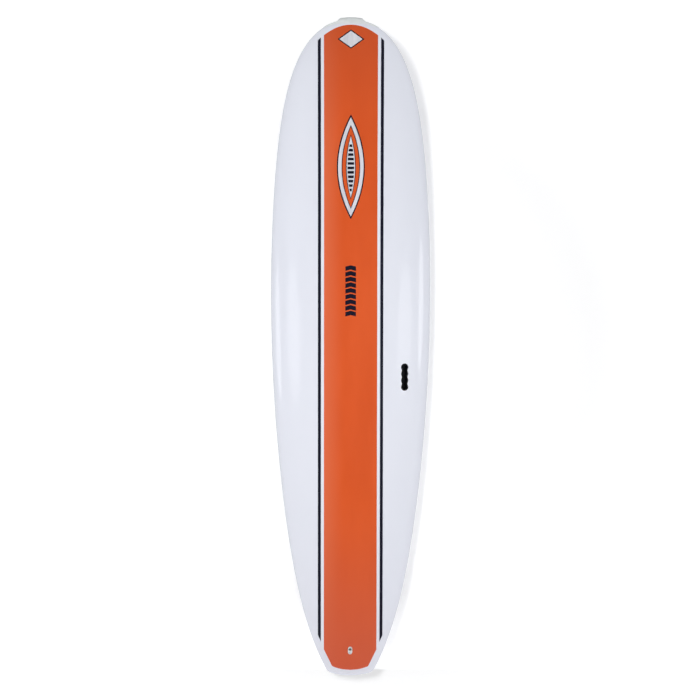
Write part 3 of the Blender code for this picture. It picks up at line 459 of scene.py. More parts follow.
def stadium(size, grow=0.0, steps=24):
    """Outline with round ends along Y from a half width and a length, grown all round."""
    radius = size[0] + grow
    straight = (size[1] + 2 * grow) / 2 - radius
    return (arc((0, straight), radius, 0, 180, steps)
            + arc((0, -straight), radius, 180, 360, steps))


def turned(profile, centre=(0, 0), steps=64):
    """Solid turned from (radius, height) points between its two end faces."""
    rings = [(arc(centre, max(r, 1e-5), 0, 360, steps)[:-1], z) for r, z in profile]
    return loft([[(x, y, z) for x, y in ring] for ring, z in rings])


def cross_rod(radius, half_length, y, z):
    """Rod along X with rounded ends."""
    lip = radius * 0.25
    profile = [(radius - lip, -half_length), (radius, lip - half_length),
               (radius, half_length - lip), (radius - lip, half_length)]
    bm = turned(profile, steps=48)
    turn = Matrix.Rotation(math.radians(90), 4, "Y")
    bmesh.ops.transform(bm, matrix=Matrix.Translation((0, y, z)) @ turn, verts=bm.verts)
    return bm


# ----- the hull's form
def outline_half_width(z):
    if z > WIDE_POINT_Z:
        t = (z - WIDE_POINT_Z) / (HALF_LENGTH - WIDE_POINT_Z)
        fall = NOSE_CURVE_SHARE * t**2 + (1 - NOSE_CURVE_SHARE) * t**NOSE_CURVE_POWER
        return HALF_WIDTH * max(0.0, 1 - fall) ** NOSE_ROUNDING
    t = (WIDE_POINT_Z - z) / (WIDE_POINT_Z + HALF_LENGTH)
    fall = TAIL_CURVE_SHARE * t**2 + (1 - TAIL_CURVE_SHARE) * t**TAIL_CURVE_POWER
    side = HALF_WIDTH - (HALF_WIDTH - TAIL_BLOCK_HALF) * fall
    into_corner = TAIL_CORNER_RADIUS - (z - TAIL_SIDE_Z)
    if into_corner > 0:
        side += math.sqrt(max(0.0, TAIL_CORNER_RADIUS**2 - into_corner**2)) - TAIL_CORNER_RADIUS
    return side


def find_nose_side_z():
    low, high = WIDE_POINT_Z, HALF_LENGTH
    for _ in range(60):
        middle = (low + high) / 2
        if outline_half_width(middle) > NOSE_END_HALF:
            low = middle
        else:
            high = middle
    return low


TAIL_BOW = TAIL_END_HALF**2 / (2 * TAIL_END_RADIUS)
TAIL_SIDE_Z = -HALF_LENGTH + TAIL_BOW
NOSE_SIDE_Z = find_nose_side_z()
NOSE_BOW = HALF_LENGTH - NOSE_SIDE_Z
NOSE_BOW_POWER = 1 / NOSE_ROUNDING


def rocker(z):
    share = max(0.0, abs(z) - ROCKER_FLAT) / (HALF_LENGTH - ROCKER_FLAT)
    if z > 0:
        return NOSE_ROCKER * share**NOSE_ROCKER_POWER
    return TAIL_ROCKER * share**TAIL_ROCKER_POWER


def thickness(z):
    end = NOSE_THICKNESS if z > 0 else TAIL_THICKNESS
    share = min(1.0, abs(z) / HALF_LENGTH)
    return end + (THICKNESS - end) * (1 - share**FOIL_POWER) ** FOIL_FALL


def deck_crown(v):
    return max(0.0, 1 - abs(v) ** DECK_POWER) ** (1 / DECK_POWER)


def bottom_crown(v):
    into_rail = max(0.0, abs(v) - BOTTOM_FLAT_SHARE) / (1 - BOTTOM_FLAT_SHARE)
    return max(0.0, 1 - into_rail**BOTTOM_POWER) ** (1 / BOTTOM_POWER)


def station_bow(side_z, v):
    """How far a cross row bends towards the nearer end at a share v of the half width."""
    nose = NOSE_BOW * math.exp(-(NOSE_SIDE_Z - side_z) / BOW_REACH) * (1 - abs(v) ** NOSE_BOW_POWER)
    tail = TAIL_BOW * math.exp(-(side_z - TAIL_SIDE_Z) / BOW_REACH) * (1 - v * v)
    return nose - tail


def station_point(side_z, v, side, inset):
    half = outline_half_width(side_z) - inset
    z = side_z + station_bow(side_z, v)
    from_end = max(0.0, 1 - min(side_z - TAIL_SIDE_Z, NOSE_SIDE_Z - side_z) / END_ROUND)
    closing = max(0.0, 1 - from_end**END_POWER) ** (1 / END_POWER)
    whole = thickness(z)
    if side > 0:
        rise = (whole * (1 - APEX_SHARE) - inset) * deck_crown(v) * closing
    else:
        rise = -(whole * APEX_SHARE - inset) * bottom_crown(v) * closing
    height = rocker(z) + whole * APEX_SHARE + rise
    return Vector((v * half, -height, z * (1 - inset / HALF_LENGTH)))


def surface_point(x, z, side=1, lift=0.0):
    """Point of the outer surface at a given x and z, lifted off the board."""
    side_z = z
    for _ in range(24):
        v = x / max(outline_half_width(side_z), abs(x) + 1e-6)
        side_z = z - station_bow(side_z, v)
    point = station_point(side_z, v, side, 0.0)
    return Vector((x, point.y - side * lift, z))


def surface_frame(x, z, side):
    """Frame on the surface: local Z points out of the board, local Y towards the nose."""
    step = 0.004
    across = surface_point(x + step, z, side) - surface_point(x - step, z, side)
    along = surface_point(x, z + step, side) - surface_point(x, z - step, side)
    out = across.cross(along).normalized()
    if out.y * side > 0:
        out.negate()
    along = (along - out * along.dot(out)).normalized()
    turn = Matrix((along.cross(out), along, out)).transposed().to_4x4()
    return Matrix.Translation(surface_point(x, z, side)) @ turn


def hull_rows(side, inset):
    span = NOSE_SIDE_Z - TAIL_SIDE_Z
    heights = [TAIL_SIDE_Z + span * (1 - math.cos(math.pi * i / STATIONS)) / 2
               for i in range(STATIONS + 1)]
    shares = [math.sin(math.pi * (j / COLUMNS - 0.5)) for j in range(COLUMNS + 1)]
    return [[station_point(z, v, side, inset) for v in shares] for z in heights]


def closed_hull(name, inset):
    return add_object(name, grid_solid(hull_rows(1, inset), hull_rows(-1, inset)))


# ----- cut-outs for the fittings
SIDES = {"left": -1, "right": 1}
SIDE_FIN_X = 0.150
SIDE_FIN_Z = -0.955
SIDE_FIN_TOE = math.radians(2.5)
SIDE_FIN_CANT = math.radians(4.0)


def side_fin_frame(sign):
    toe = Matrix.Rotation(-sign * SIDE_FIN_TOE, 4, "Z")
    return surface_frame(sign * SIDE_FIN_X, SIDE_FIN_Z, -1) @ toe


PLUG_FRAME = surface_frame(0.0, -1.189, 1)
GRIP_FRAME = surface_frame(0.2150, -0.094, 1)
FIN_FRAME = surface_frame(0.0, -0.985, -1)
SIDE_FRAMES = {name: side_fin_frame(sign) for name, sign in SIDES.items()}
# half width and length of each fitting with round ends
PLUG_SIZE = (0.0086, 0.031)
FIN_BOX_SIZE = (0.0125, 0.267)
SIDE_BOX_SIZE = (0.0070, 0.134)
# how deep each cut goes, past the skin, and how far it stands out
PLUG_CUT = 0.010
GRIP_CUT = 0.012
BOX_CUT = 0.008
CUT_ABOVE = 0.020
GRIP_PITCH = 0.0263
GRIP_LOBES = 4
GRIP_LOBE_HALF = 0.0144
GRIP_WAIST_HALF = 0.0110
GRIP_LOBE_POWER = 1.4
GRIP_END_OPENING = 0.8  # how far an end lobe's arc runs back towards the waist


def grip_outline(grow, steps=10):
    """Scalloped outline with one lobe for each finger, along Y."""
    rise = GRIP_LOBE_HALF - GRIP_WAIST_HALF
    waist = GRIP_WAIST_HALF + grow
    first = -GRIP_PITCH * (GRIP_LOBES - 1) / 2
    side = []
    for i in range(1, GRIP_LOBES - 1):
        for k in range(steps):
            s = k / steps - 0.5
            side.append((waist + rise * math.cos(math.pi * s) ** GRIP_LOBE_POWER,
                         first + GRIP_PITCH * i + GRIP_PITCH * s))
    side.append((waist, first + GRIP_PITCH * (GRIP_LOBES - 1.5)))
    radius = GRIP_LOBE_HALF + grow
    open_angle = math.degrees(math.acos(min(1.0, waist / radius))) * GRIP_END_OPENING
    top = arc((0, -first), radius, -open_angle, 180 + open_angle, 6 * steps)
    left = [(-x, y) for x, y in reversed(side)]
    bottom = [(-x, -y) for x, y in top]
    return side + top + left + bottom


def cut_out(name, outline, depth, local_frame):
    return add_object(name, prism(outline, -depth, CUT_ABOVE), local_frame)


def plug_cut():
    return cut_out("plug_cut", stadium(PLUG_SIZE, GAP), PLUG_CUT, PLUG_FRAME)


def make_hull():
    """The laminate: one seamless hollow skin, cut open for every fitting."""
    skin = closed_hull("hull_skin", 0.0)
    cuts = [closed_hull("hull_inside", SKIN), plug_cut(),
            cut_out("grip_cut", grip_outline(GAP), GRIP_CUT, GRIP_FRAME),
            cut_out("fin_cut", stadium(FIN_BOX_SIZE, GAP), BOX_CUT, FIN_FRAME)]
    cuts += [cut_out("side_cut", stadium(SIDE_BOX_SIZE, GAP), BOX_CUT, side_frame)
             for side_frame in SIDE_FRAMES.values()]
    shape(skin, cut=cuts)
    finish_piece(skin, "gloss_white", "board", ("deck_shell", "bottom_shell"), 50)


# ----- deck graphics
def painted(name, patches, layer, slot, nodes=(), holes=()):
    """Painted layer on the deck; each patch is a grid of (x, z) points."""
    low = PAINT * (1 + 2 * layer)
    bm = bmesh.new()
    for patch in patches:
        sheets = [[[surface_point(x, z, 1, lift) for x, z in row] for row in patch]
                  for lift in (low + PAINT, low)]
        add_grid(bm, *sheets)
    obj = add_object(name, bm)
    shape(obj, cut=holes)
    finish_piece(obj, slot, "board", nodes, 60)


def across(rows, columns):
    """Grid of points from rows of (z, left x, right x)."""
    return [[(left + (right - left) * j / columns, z) for j in range(columns + 1)]
            for z, left, right in rows]


def steps_between(start, end, pitch):
    count = max(1, round(abs(end - start) / pitch))
    return [start + (end - start) * i / count for i in range(count + 1)]


def band_patch(tail_steps=12, nose_steps=20, columns=34):
    """Parallel band with a curved nose end, tapered to a rounded end at the tail."""
    tail_rise = BAND_END_CORNER_Z - BAND_END_Z
    rows = []
    for i in range(tail_steps + 1):
        rise = tail_rise * (1 - (1 - i / tail_steps) ** 2)
        rows.append((BAND_END_Z + rise, BAND_END_HALF * math.sqrt(rise / tail_rise)))
    for z in steps_between(BAND_END_CORNER_Z, BAND_TAIL_CORNER_Z, 0.008)[1:]:
        t = (z - BAND_END_CORNER_Z) / (BAND_TAIL_CORNER_Z - BAND_END_CORNER_Z)
        rows.append((z, BAND_END_HALF + (BAND_HALF - BAND_END_HALF) * t))
    rows += [(z, BAND_HALF) for z in steps_between(BAND_TAIL_CORNER_Z, BAND_TOP_CORNER_Z, 0.010)[1:]]
    for i in range(1, nose_steps + 1):
        half = BAND_HALF * (1 - i / nose_steps)
        z = BAND_TOP_Z - (BAND_TOP_Z - BAND_TOP_CORNER_Z) * (half / BAND_HALF) ** 2
        rows.append((z, half))
    return across([(z, -half, half) for z, half in rows], columns)


def stripe_patch(sign):
    """Narrow stripe beside the band, its outer corner cut off at both ends."""
    inner, outer = STRIPE_LOW.x, STRIPE_HIGH.x
    low, high = STRIPE_LOW.z, STRIPE_HIGH.z
    tail_end, nose_start = low + STRIPE_TAIL_SLANT, high - STRIPE_SLANT
    rows = []
    for z in (steps_between(low, tail_end, 0.003)
              + steps_between(tail_end, nose_start, 0.016)[1:]
              + steps_between(nose_start, high, 0.002)[1:]):
        cut = max(0.0, 1 - (z - low) / STRIPE_TAIL_SLANT, 1 - (high - z) / STRIPE_SLANT)
        edge = outer - (outer - inner) * min(cut, 0.98)
        rows.append((z, inner, edge) if sign > 0 else (z, -edge, -inner))
    return across(rows, 2)


TIP_HALF = 0.00004  # half width that a painted shape's sharp tip keeps
EMBLEM_FACE = 0.86  # size of the emblem's face, as a share of the whole
# colour of each nested oval of the badge, and its share of the badge's width and height
BADGE_LAYERS = (("dark_film", 1.0, 1.0), ("silver_film", 0.91, 0.945), ("dark_film", 0.66, 0.80),
                ("gloss_orange", 0.60, 0.765), ("dark_film", 0.36, 0.62),
                ("silver_film", 0.30, 0.585))
BAR_COUNT = 11
BAR_OVAL = (0.235, 0.54)  # the oval that the bars fill, as shares of the badge
BAR_REACH = 0.86  # how far up and down that oval the bars go
BAR_STROKE = 0.60  # thickness of a bar, as a share of the pitch


def middle_and_halves(node):
    """Centre of a CAD node, half its width and half its height."""
    low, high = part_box(node)
    return (low + high) / 2, (high.x - low.x) / 2, (high.z - low.z) / 2


def tapered_patch(centre, half_x, half_z, shares, power):
    """Grid whose half width falls with a power of each share of the half height."""
    rows = []
    for share in shares:
        half = max(half_x * (1 - abs(share) ** power), TIP_HALF)
        rows.append((centre.z + half_z * share, centre.x - half, centre.x + half))
    return across(rows, 8)


def lens_patch(centre, half_x, half_z, low=-1.0, high=1.0, count=60):
    """Upright pointed oval with parabolic sides, or the part of it between two shares."""
    shares = [low + (high - low) * (1 - math.cos(math.pi * i / count)) / 2
              for i in range(count + 1)]
    return tapered_patch(centre, half_x, half_z, shares, 2)


def diamond_patch(centre, half_x, half_z, count=24):
    shares = [2 * i / count - 1 for i in range(count + 1)]
    return tapered_patch(centre, half_x, half_z, shares, 1)


def make_badge():
    """Upright badge: nested pointed ovals, with plain bars across the innermost one."""
    centre, half_x, half_z = middle_and_halves("deck_badge")
    for i, (slot, share_x, share_z) in enumerate(BADGE_LAYERS):
        nodes = ("deck_badge",) if i == 0 else ()
        patch = lens_patch(centre, half_x * share_x, half_z * share_z)
        painted(f"badge_layer_{i}", [patch], 1 + i, slot, nodes)
    bar_x, bar_z = half_x * BAR_OVAL[0], half_z * BAR_OVAL[1]
    pitch = 2 * BAR_REACH / BAR_COUNT
    patches = []
    for i in range(BAR_COUNT):
        low = 2 * BAR_REACH * i / BAR_COUNT - BAR_REACH
        patches.append(lens_patch(centre, bar_x, bar_z, low, low + pitch * BAR_STROKE, 4))
    painted("badge_bars", patches, 1 + len(BADGE_LAYERS), "dark_film")


def make_emblem():
    """Small badge at the nose: a silver diamond with a dark outline."""
    centre, half_x, half_z = middle_and_halves("nose_emblem")
    painted("emblem_edge", [diamond_patch(centre, half_x, half_z)], 1, "dark_film", ("nose_emblem",))
    face = diamond_patch(centre, half_x * EMBLEM_FACE, half_z * EMBLEM_FACE)
    painted("emblem_face", [face], 2, "silver_film")


def make_chevrons(arm_steps=8, stroke_steps=3):
    """Upright stack of plain black chevrons."""
    centre, half_x, half_z = middle_and_halves("deck_chevrons")
    pitch = 2 * half_z / CHEVRON_COUNT
    fall = (1 - CHEVRON_STROKE) * pitch
    shares = [j / arm_steps - 1 for j in range(2 * arm_steps + 1)]
    patches = []
    for i in range(CHEVRON_COUNT):
        base = centre.z - half_z + pitch * i
        patches.append([[(centre.x + half_x * share,
                          base + fall * (1 - abs(share)) + CHEVRON_STROKE * pitch * up / stroke_steps)
                         for share in shares] for up in range(stroke_steps + 1)])
    painted("chevron_stack", patches, 1, "dark_film", ("deck_chevrons",))


def make_graphics():
    painted("centre_band", [band_patch()], 0, "gloss_orange", ("deck_band",), (plug_cut(),))
    for side, sign in SIDES.items():
        name = f"stripe_{side}"
        painted(name, [stripe_patch(sign)], 0, "dark_film", (f"pinstripe_{side}",))
    make_badge()
    make_emblem()
    make_chevrons()


# ----- carry grip
def make_grip():
    """Moulded cup: rounded flange, rounded lip, plain walls and a rounded floor."""
    profile = [(-0.0016, -0.0330), (-0.0015, -0.0006), (-0.0001, -0.0006), (0.0, 0.0000),
               (-0.0002, 0.0006), (-0.0007, 0.0010), (-0.0014, 0.0011), (-0.0022, 0.0010),
               (-0.0028, 0.0006), (-0.0031, 0.0000), (-0.0032, -0.0010), (-0.0034, -0.0250),
               (-0.0038, -0.0285), (-0.0048, -0.0306), (-0.0062, -0.0314), (-0.0080, -0.0316)]
    rings = [[(x, y, z) for x, y in grip_outline(grow)] for grow, z in profile]
    obj = add_object("carry_grip_cup", loft(rings), GRIP_FRAME)
    finish_piece(obj, "black_plastic", "board", ("carry_grip",), 40)


# ----- leash plug
PLUG_TOP = 0.0008
PLUG_DEPTH = 0.0185
CUP_Y = 0.0036
CUP_RADIUS = 0.0058
CUP_DEPTH = 0.0140
CUP_LIP = 0.0007
LEASH_PIN_RADIUS = 0.0016
LEASH_PIN_HALF_LENGTH = 0.0073
LEASH_PIN_DEPTH = 0.0045
VENT_Y = -0.0088
VENT_HEAD_RADIUS = 0.0037
VENT_SHANK_RADIUS = 0.0020
VENT_SUNK = 0.0004  # depth of the vent screw's head below the plug's top
VENT_HEAD_HEIGHT = 0.0018
VENT_SHANK_LENGTH = 0.0100
VENT_SEAT_DEPTH = 0.0036
VENT_HOLE_DEPTH = 0.0128
SEAL_RADIUS = 0.00285
SEAL_TUBE = 0.00050
SLOT_HALF = 0.0006  # half width of a screwdriver slot
PROUD = 0.004  # how far a cutter stands out of the plug


def make_leash_plug():
    """Plug with a cup for the leash, a stepped hole for the vent screw and a cross pin."""
    profile = [(-0.0006, -PLUG_DEPTH), (0.0, 0.0005 - PLUG_DEPTH), (0.0, PLUG_TOP - 0.0006),
               (-0.0002, PLUG_TOP - 0.0002), (-0.0007, PLUG_TOP)]
    rings = [[(x, y, z) for x, y in stadium(PLUG_SIZE, grow, 32)] for grow, z in profile]
    plug = add_object("leash_plug_body", loft(rings), PLUG_FRAME)
    rim = CUP_RADIUS + CUP_LIP
    cup = turned([(CUP_RADIUS - 0.0012, PLUG_TOP - CUP_DEPTH),
                  (CUP_RADIUS - 0.0003, PLUG_TOP + 0.0004 - CUP_DEPTH),
                  (CUP_RADIUS, PLUG_TOP + 0.0015 - CUP_DEPTH), (CUP_RADIUS, PLUG_TOP - CUP_LIP),
                  (CUP_RADIUS + 0.0002, PLUG_TOP - 0.0002), (rim, PLUG_TOP + 0.00002),
                  (rim, PLUG_TOP + PROUD)], (0, CUP_Y))
    hole, seat = VENT_SHANK_RADIUS + GAP, VENT_HEAD_RADIUS + GAP
    vent = turned([(hole, PLUG_TOP - VENT_HOLE_DEPTH), (hole, PLUG_TOP - VENT_SEAT_DEPTH),
                   (seat, PLUG_TOP - VENT_SEAT_DEPTH), (seat, PLUG_TOP + PROUD)], (0, VENT_Y))
    shape(plug, cut=helpers(PLUG_FRAME, cup, vent))
    finish_piece(plug, "pale_plastic", "board", ("leash_plug",), 30)
    rod = cross_rod(LEASH_PIN_RADIUS, LEASH_PIN_HALF_LENGTH, CUP_Y, PLUG_TOP - LEASH_PIN_DEPTH)
    finish_piece(add_object("leash_cross_pin", rod, PLUG_FRAME), "steel", "board", ("leash_pin",))


def make_vent_screw():
    top = PLUG_TOP - VENT_SUNK
    low = top - VENT_HEAD_HEIGHT
    end = low - VENT_SHANK_LENGTH
    profile = [(VENT_SHANK_RADIUS - 0.0006, end), (VENT_SHANK_RADIUS, end + 0.0006),
               (VENT_SHANK_RADIUS, low), (VENT_HEAD_RADIUS, low), (VENT_HEAD_RADIUS, top - 0.0004),
               (VENT_HEAD_RADIUS - 0.0001, top - 0.00015), (VENT_HEAD_RADIUS - 0.0004, top)]
    screw = add_object("vent_plug_screw", turned(profile, (0, VENT_Y)), PLUG_FRAME)
    slot = box((-0.006, VENT_Y - SLOT_HALF, top - 0.0009), (0.006, VENT_Y + SLOT_HALF, top + 0.001))
    shape(screw, cut=helpers(PLUG_FRAME, slot))
    finish_piece(screw, "pale_plastic", "vent_screw", ("vent_screw",), 30)


def make_vent_seal(steps=48, around=16):
    """O-ring under the vent screw's head."""
    middle_z = PLUG_TOP - VENT_SUNK - VENT_HEAD_HEIGHT - 0.0008
    bm = bmesh.new()
    rings = []
    for i in range(steps):
        a = math.tau * i / steps
        ring = []
        for k in range(around):
            b = math.tau * k / around
            radius = SEAL_RADIUS + SEAL_TUBE * math.cos(b)
            ring.append(bm.verts.new((radius * math.cos(a), VENT_Y + radius * math.sin(a),
                                      middle_z + SEAL_TUBE * math.sin(b))))
        rings.append(ring)
    for here, there in zip(rings, rings[1:] + rings[:1]):
        for k in range(around):
            m = (k + 1) % around
            bm.faces.new((here[k], here[m], there[m], there[k]))
    finish_piece(add_object("vent_o_ring", bm, PLUG_FRAME), "seal_rubber", "board", ("vent_seal",))


# ----- fins
BLADE_THINNING = 0.72  # share of its thickness that a blade loses towards the tip
TIP_ROUNDING = 12  # power that rounds off the thickness at the tip
FOIL_PEAK = 2.6  # scales the foil's fullest point to about 1
FIN_PIN_Y = -0.0800
FIN_PIN_DEPTH = 0.0088
FIN_PIN_RADIUS = 0.0022
FIN_PIN_HALF_LENGTH = 0.0095
FIN_SCREW_Y = 0.0740
FIN_TAB_HALF = 0.0045
FIN_TAB_DEPTH = 0.0200
FIN_LUG_HALF = 0.0043
FIN_BOX_DEPTH = 0.0280
FIN_BASE_GAP = 0.0010
BOX_PROUD = 0.0003  # how far a fin box stands out of the bottom
CHANNEL_HALF_LENGTH = 0.127
PLATE_HALF_X = 0.0095
PLATE_HALF_Y = 0.0060
SCREW_SUNK = 0.0010
SIDE_TAB_HALF = 0.0034
SIDE_BOX_DEPTH = 0.0170
GRUB_Y = 0.0560
GRUB_RADIUS = 0.0026
GRUB_LENGTH = 0.0080
GRUB_SUNK = 0.0007


def fin_blade(base_rear, base_front, height, tip_y, half_thick, hollow, lean, rows=48, columns=36):
    """Foiled blade: its front edge sweeps back with the power lean, its rear edge is hollow."""
    left, right = [], []
    for i in range(rows + 1):
        s = math.sin(math.pi / 2 * i / rows)
        front = base_front - (base_front - tip_y) * s**lean
        rear = base_rear + hollow * math.sin(math.pi * s) + (tip_y - base_rear) * s**3
        half = half_thick * (1 - BLADE_THINNING * s) * math.sqrt(max(0.0, 1 - s**TIP_ROUNDING))
        line = []
        for j in range(columns + 1):
            c = 0.5 - 0.5 * math.cos(math.pi * j / columns)
            foil = FOIL_PEAK * math.sqrt(1 - c) * c
            line.append((half * min(1.0, foil), rear + (front - rear) * c, height * s))
        left.append([(-x, y, z) for x, y, z in line])
        right.append(line)
    return grid_solid(left, right)


def make_centre_fin():
    """Blade with a tab and a screw lug; the pin's end of the base is cut back as a heel."""
    blade = fin_blade(base_rear=FIN_PIN_Y + 0.0035, base_front=0.066, height=0.203, tip_y=-0.105,
                      half_thick=0.0043, hollow=0.016, lean=2.1)
    bmesh.ops.translate(blade, verts=blade.verts, vec=(0, 0, FIN_BASE_GAP))
    fin = add_object("centre_fin_blade", blade, FIN_FRAME)
    tab = box((-FIN_TAB_HALF, -0.0860, -FIN_TAB_DEPTH), (FIN_TAB_HALF, 0.0600, 0.0014))
    lug = box((-FIN_LUG_HALF, 0.0590, -0.0065), (FIN_LUG_HALF, 0.0840, -0.0034))
    heel = box((-0.01, -0.0870, -0.0010), (0.01, FIN_PIN_Y + 0.0030, 0.0016))
    screw_hole = turned([(0.0024, -0.012), (0.0024, 0.0)], (0, FIN_SCREW_Y), 32)
    pin_hole = cross_rod(0.0025, 0.01, FIN_PIN_Y, -FIN_PIN_DEPTH)
    joined = helpers(FIN_FRAME, tab, lug)
    soften(joined[0], 0.0006)
    shape(fin, joined, helpers(FIN_FRAME, heel, screw_hole, pin_hole))
    finish_piece(fin, "fin_glass", "centre_fin", ("centre_fin",), 30)
    rod = cross_rod(FIN_PIN_RADIUS, FIN_PIN_HALF_LENGTH, FIN_PIN_Y, -FIN_PIN_DEPTH)
    finish_piece(add_object("fin_pivot_pin", rod, FIN_FRAME), "brass", "fin_pin", ("fin_cross_pin",))


def make_fin_box():
    """Long box with a channel, an undercut along it and an opening to drop the plate in."""
    bm = prism(stadium(FIN_BOX_SIZE), -FIN_BOX_DEPTH, BOX_PROUD)
    case = add_object("fin_box_case", bm, FIN_FRAME)
    # half width, half length, lowest and highest point of each cut
    cuts = ((0.0048, CHANNEL_HALF_LENGTH, -0.0240, 0.01),
            (0.0100, CHANNEL_HALF_LENGTH - 0.002, -0.0115, -0.0060),
            (0.0100, 0.011, -0.0070, 0.01))
    tools = [box((-x, -y, low), (x, y, high)) for x, y, low, high in cuts]
    shape(case, cut=helpers(FIN_FRAME, *tools), edge=(0.0005, 60))
    finish_piece(case, "black_plastic", "board", ("fin_box",), 30)


def make_fin_fasteners():
    """Nut plate in the channel, and the slotted screw that goes into it."""
    plate = box((-PLATE_HALF_X, FIN_SCREW_Y - PLATE_HALF_Y, -0.0100),
                (PLATE_HALF_X, FIN_SCREW_Y + PLATE_HALF_Y, -0.0071))
    plate = add_object("fin_plate", plate, FIN_FRAME)
    hole = turned([(0.0030, -0.02), (0.0030, 0.0)], (0, FIN_SCREW_Y), 40)
    shape(plate, cut=helpers(FIN_FRAME, hole), edge=(0.0003,))
    finish_piece(plate, "brass", "nut_plate", ("fin_nut_plate",))
    top = -SCREW_SUNK
    profile = [(0.0014, -0.0130), (0.0020, -0.0124), (0.0020, -0.0031), (0.0040, -0.0031),
               (0.0040, top - 0.0008), (0.0037, top - 0.0003), (0.0030, top)]
    screw = add_object("fin_fixing_screw", turned(profile, (0, FIN_SCREW_Y)), FIN_FRAME)
    slot = box((-0.005, FIN_SCREW_Y - SLOT_HALF, top - 0.0011), (0.005, FIN_SCREW_Y + SLOT_HALF, 0.001))
    shape(screw, cut=helpers(FIN_FRAME, slot))
    finish_piece(screw, "steel", "fin_screw", ("fin_screw",), 30)


def make_side_box(side, side_frame):
    """Box with a slot for the fin's tab and a hole for its grub screw."""
    bm = prism(stadium(SIDE_BOX_SIZE), -SIDE_BOX_DEPTH, BOX_PROUD)
    case = add_object(f"side_box_{side}", bm, side_frame)
    slot = box((-0.0038, -0.0600, -0.0145), (0.0038, 0.0480, 0.01))
    thread = turned([(0.0029, -0.0095), (0.0029, 0.01)], (0, GRUB_Y), 40)
    shape(case, cut=helpers(side_frame, slot, thread), edge=(0.0004, 60))
    finish_piece(case, "black_plastic", "board", (f"side_fin_box_{side}",), 30)


def make_side_blade(side, side_frame, sign):
    """Blade that leans outwards, on an upright tab."""
    blade = fin_blade(base_rear=-0.056, base_front=0.050, height=0.112, tip_y=-0.076,
                      half_thick=0.0032, hollow=0.010, lean=2.0)
    lean = Matrix.Translation((0, 0, 0.0008)) @ Matrix.Rotation(-sign * SIDE_FIN_CANT, 4, "Y")
    bmesh.ops.transform(blade, matrix=lean, verts=blade.verts)
    fin = add_object(f"side_blade_{side}", blade, side_frame)
    tab = box((-SIDE_TAB_HALF, -0.0580, -0.0135), (SIDE_TAB_HALF, 0.0460, 0.0012))
    joined = helpers(side_frame, tab)
    soften(joined[0], 0.0005)
    shape(fin, joined)
    finish_piece(fin, "fin_glass", f"side_fin_{side}", (f"side_fin_{side}",), 30)


def make_side_grub(side, side_frame):
    """Headless screw with a hexagonal socket."""
    top = -GRUB_SUNK
    end = top - GRUB_LENGTH
    grub = turned([(GRUB_RADIUS - 0.0007, end), (GRUB_RADIUS, end + 0.0007),
                   (GRUB_RADIUS, top - 0.0004), (GRUB_RADIUS - 0.0004, top)], (0, GRUB_Y))
    grub = add_object(f"side_grub_{side}", grub, side_frame)
    socket = turned([(0.0013, top - 0.0025), (0.0013, top + 0.002)], (0, GRUB_Y), 6)
    shape(grub, cut=helpers(side_frame, socket))
    finish_piece(grub, "steel", f"side_screw_{side}", (f"side_fin_screw_{side}",), 30)


# ----- nose guard
GUARD_LIP = 0.0012
GUARD_END_SHRINK = 0.90  # share of its squared reach that the bar loses at its ends
GUARD_FLAT = 0.8  # below 1, the oval section is squarer


def guard_blank(half_span, top_half, ahead, reach, half_height, steps=96, around=48):
    """Bent bar round the nose's edge whose oval section shrinks at both ends.

    Its front stands ahead of the hull's edge by a thin lip at half_span, and by the full
    measure inside top_half.
    """
    rings = []
    for i in range(steps + 1):
        x = half_span * -math.cos(math.pi * i / steps)
        share = abs(x) / NOSE_END_HALF
        z = HALF_LENGTH - NOSE_BOW * share**NOSE_BOW_POWER
        slope = NOSE_BOW * NOSE_BOW_POWER / NOSE_END_HALF * share ** (NOSE_BOW_POWER - 1)
        out = Vector((math.copysign(slope, x), 0, 1)).normalized()
        ease = math.sqrt(1 - GUARD_END_SHRINK * (x / half_span) ** 2)
        step_up = min(1.0, (half_span - abs(x)) / (half_span - top_half))
        front = GUARD_LIP + (ahead - GUARD_LIP) * step_up
        tall = half_height * (0.55 + 0.45 * ease)
        edge = Vector((x, -rocker(z) - NOSE_THICKNESS * APEX_SHARE, z))
        ring = []
        for k in range(around):
            a = math.tau * k / around
            length = front if math.cos(a) > 0 else reach * ease
            lift = tall * math.copysign(abs(math.sin(a)) ** GUARD_FLAT, math.sin(a))
            ring.append(edge + out * length * math.cos(a) + Vector((0, lift, 0)))
        rings.append(ring)
    return loft(rings)


def make_nose_guard():
    """Thin guard with a raised middle, hollowed to fit over the nose."""
    thin = guard_blank(half_span=0.108, top_half=0.1037, ahead=GUARD_LIP, reach=0.0150,
                       half_height=0.0118)
    middle = guard_blank(half_span=0.0565, top_half=0.0415, ahead=0.0115, reach=0.0175,
                         half_height=0.0143)
    guard = add_object("nose_bumper", thin)
    raised = add_object("bumper_middle", middle)
    shape(guard, [raised], [closed_hull("bumper_cut", -GAP)])
    finish_piece(guard, "guard_rubber", "board", ("nose_guard",), 40)


# ----- inner CAD pieces
def finish_inner_nodes():
    """Cores, blocks and stringer keep their CAD shape and get a fine material."""
    for name, obj in frame["nodes"].items():
        if not obj.hide_render:
            paint(obj, SLOT_OF_NODE[name])


# ----- studio
STUDIO_HALF = 9.0
FLOOR_GAP = 0.001
CARD_Y = 0.012


def rectangle(half_x, half_y):
    return [(x * half_x, y * half_y) for x, y in ((-1, -1), (1, -1), (1, 1), (-1, 1))]


def plane(name, corners, look):
    """Flat sheet that is no part of the object."""
    bm = bmesh.new()
    bm.faces.new([bm.verts.new(corner) for corner in corners])
    sheet = mesh_object(name, bm)
    sheet.data.materials.append(look)
    return sheet


def reach_along(tree, source, direction):
    return add_node(tree, "VectorMath", {0: source, 1: direction}, operation="DOT_PRODUCT")["Value"]


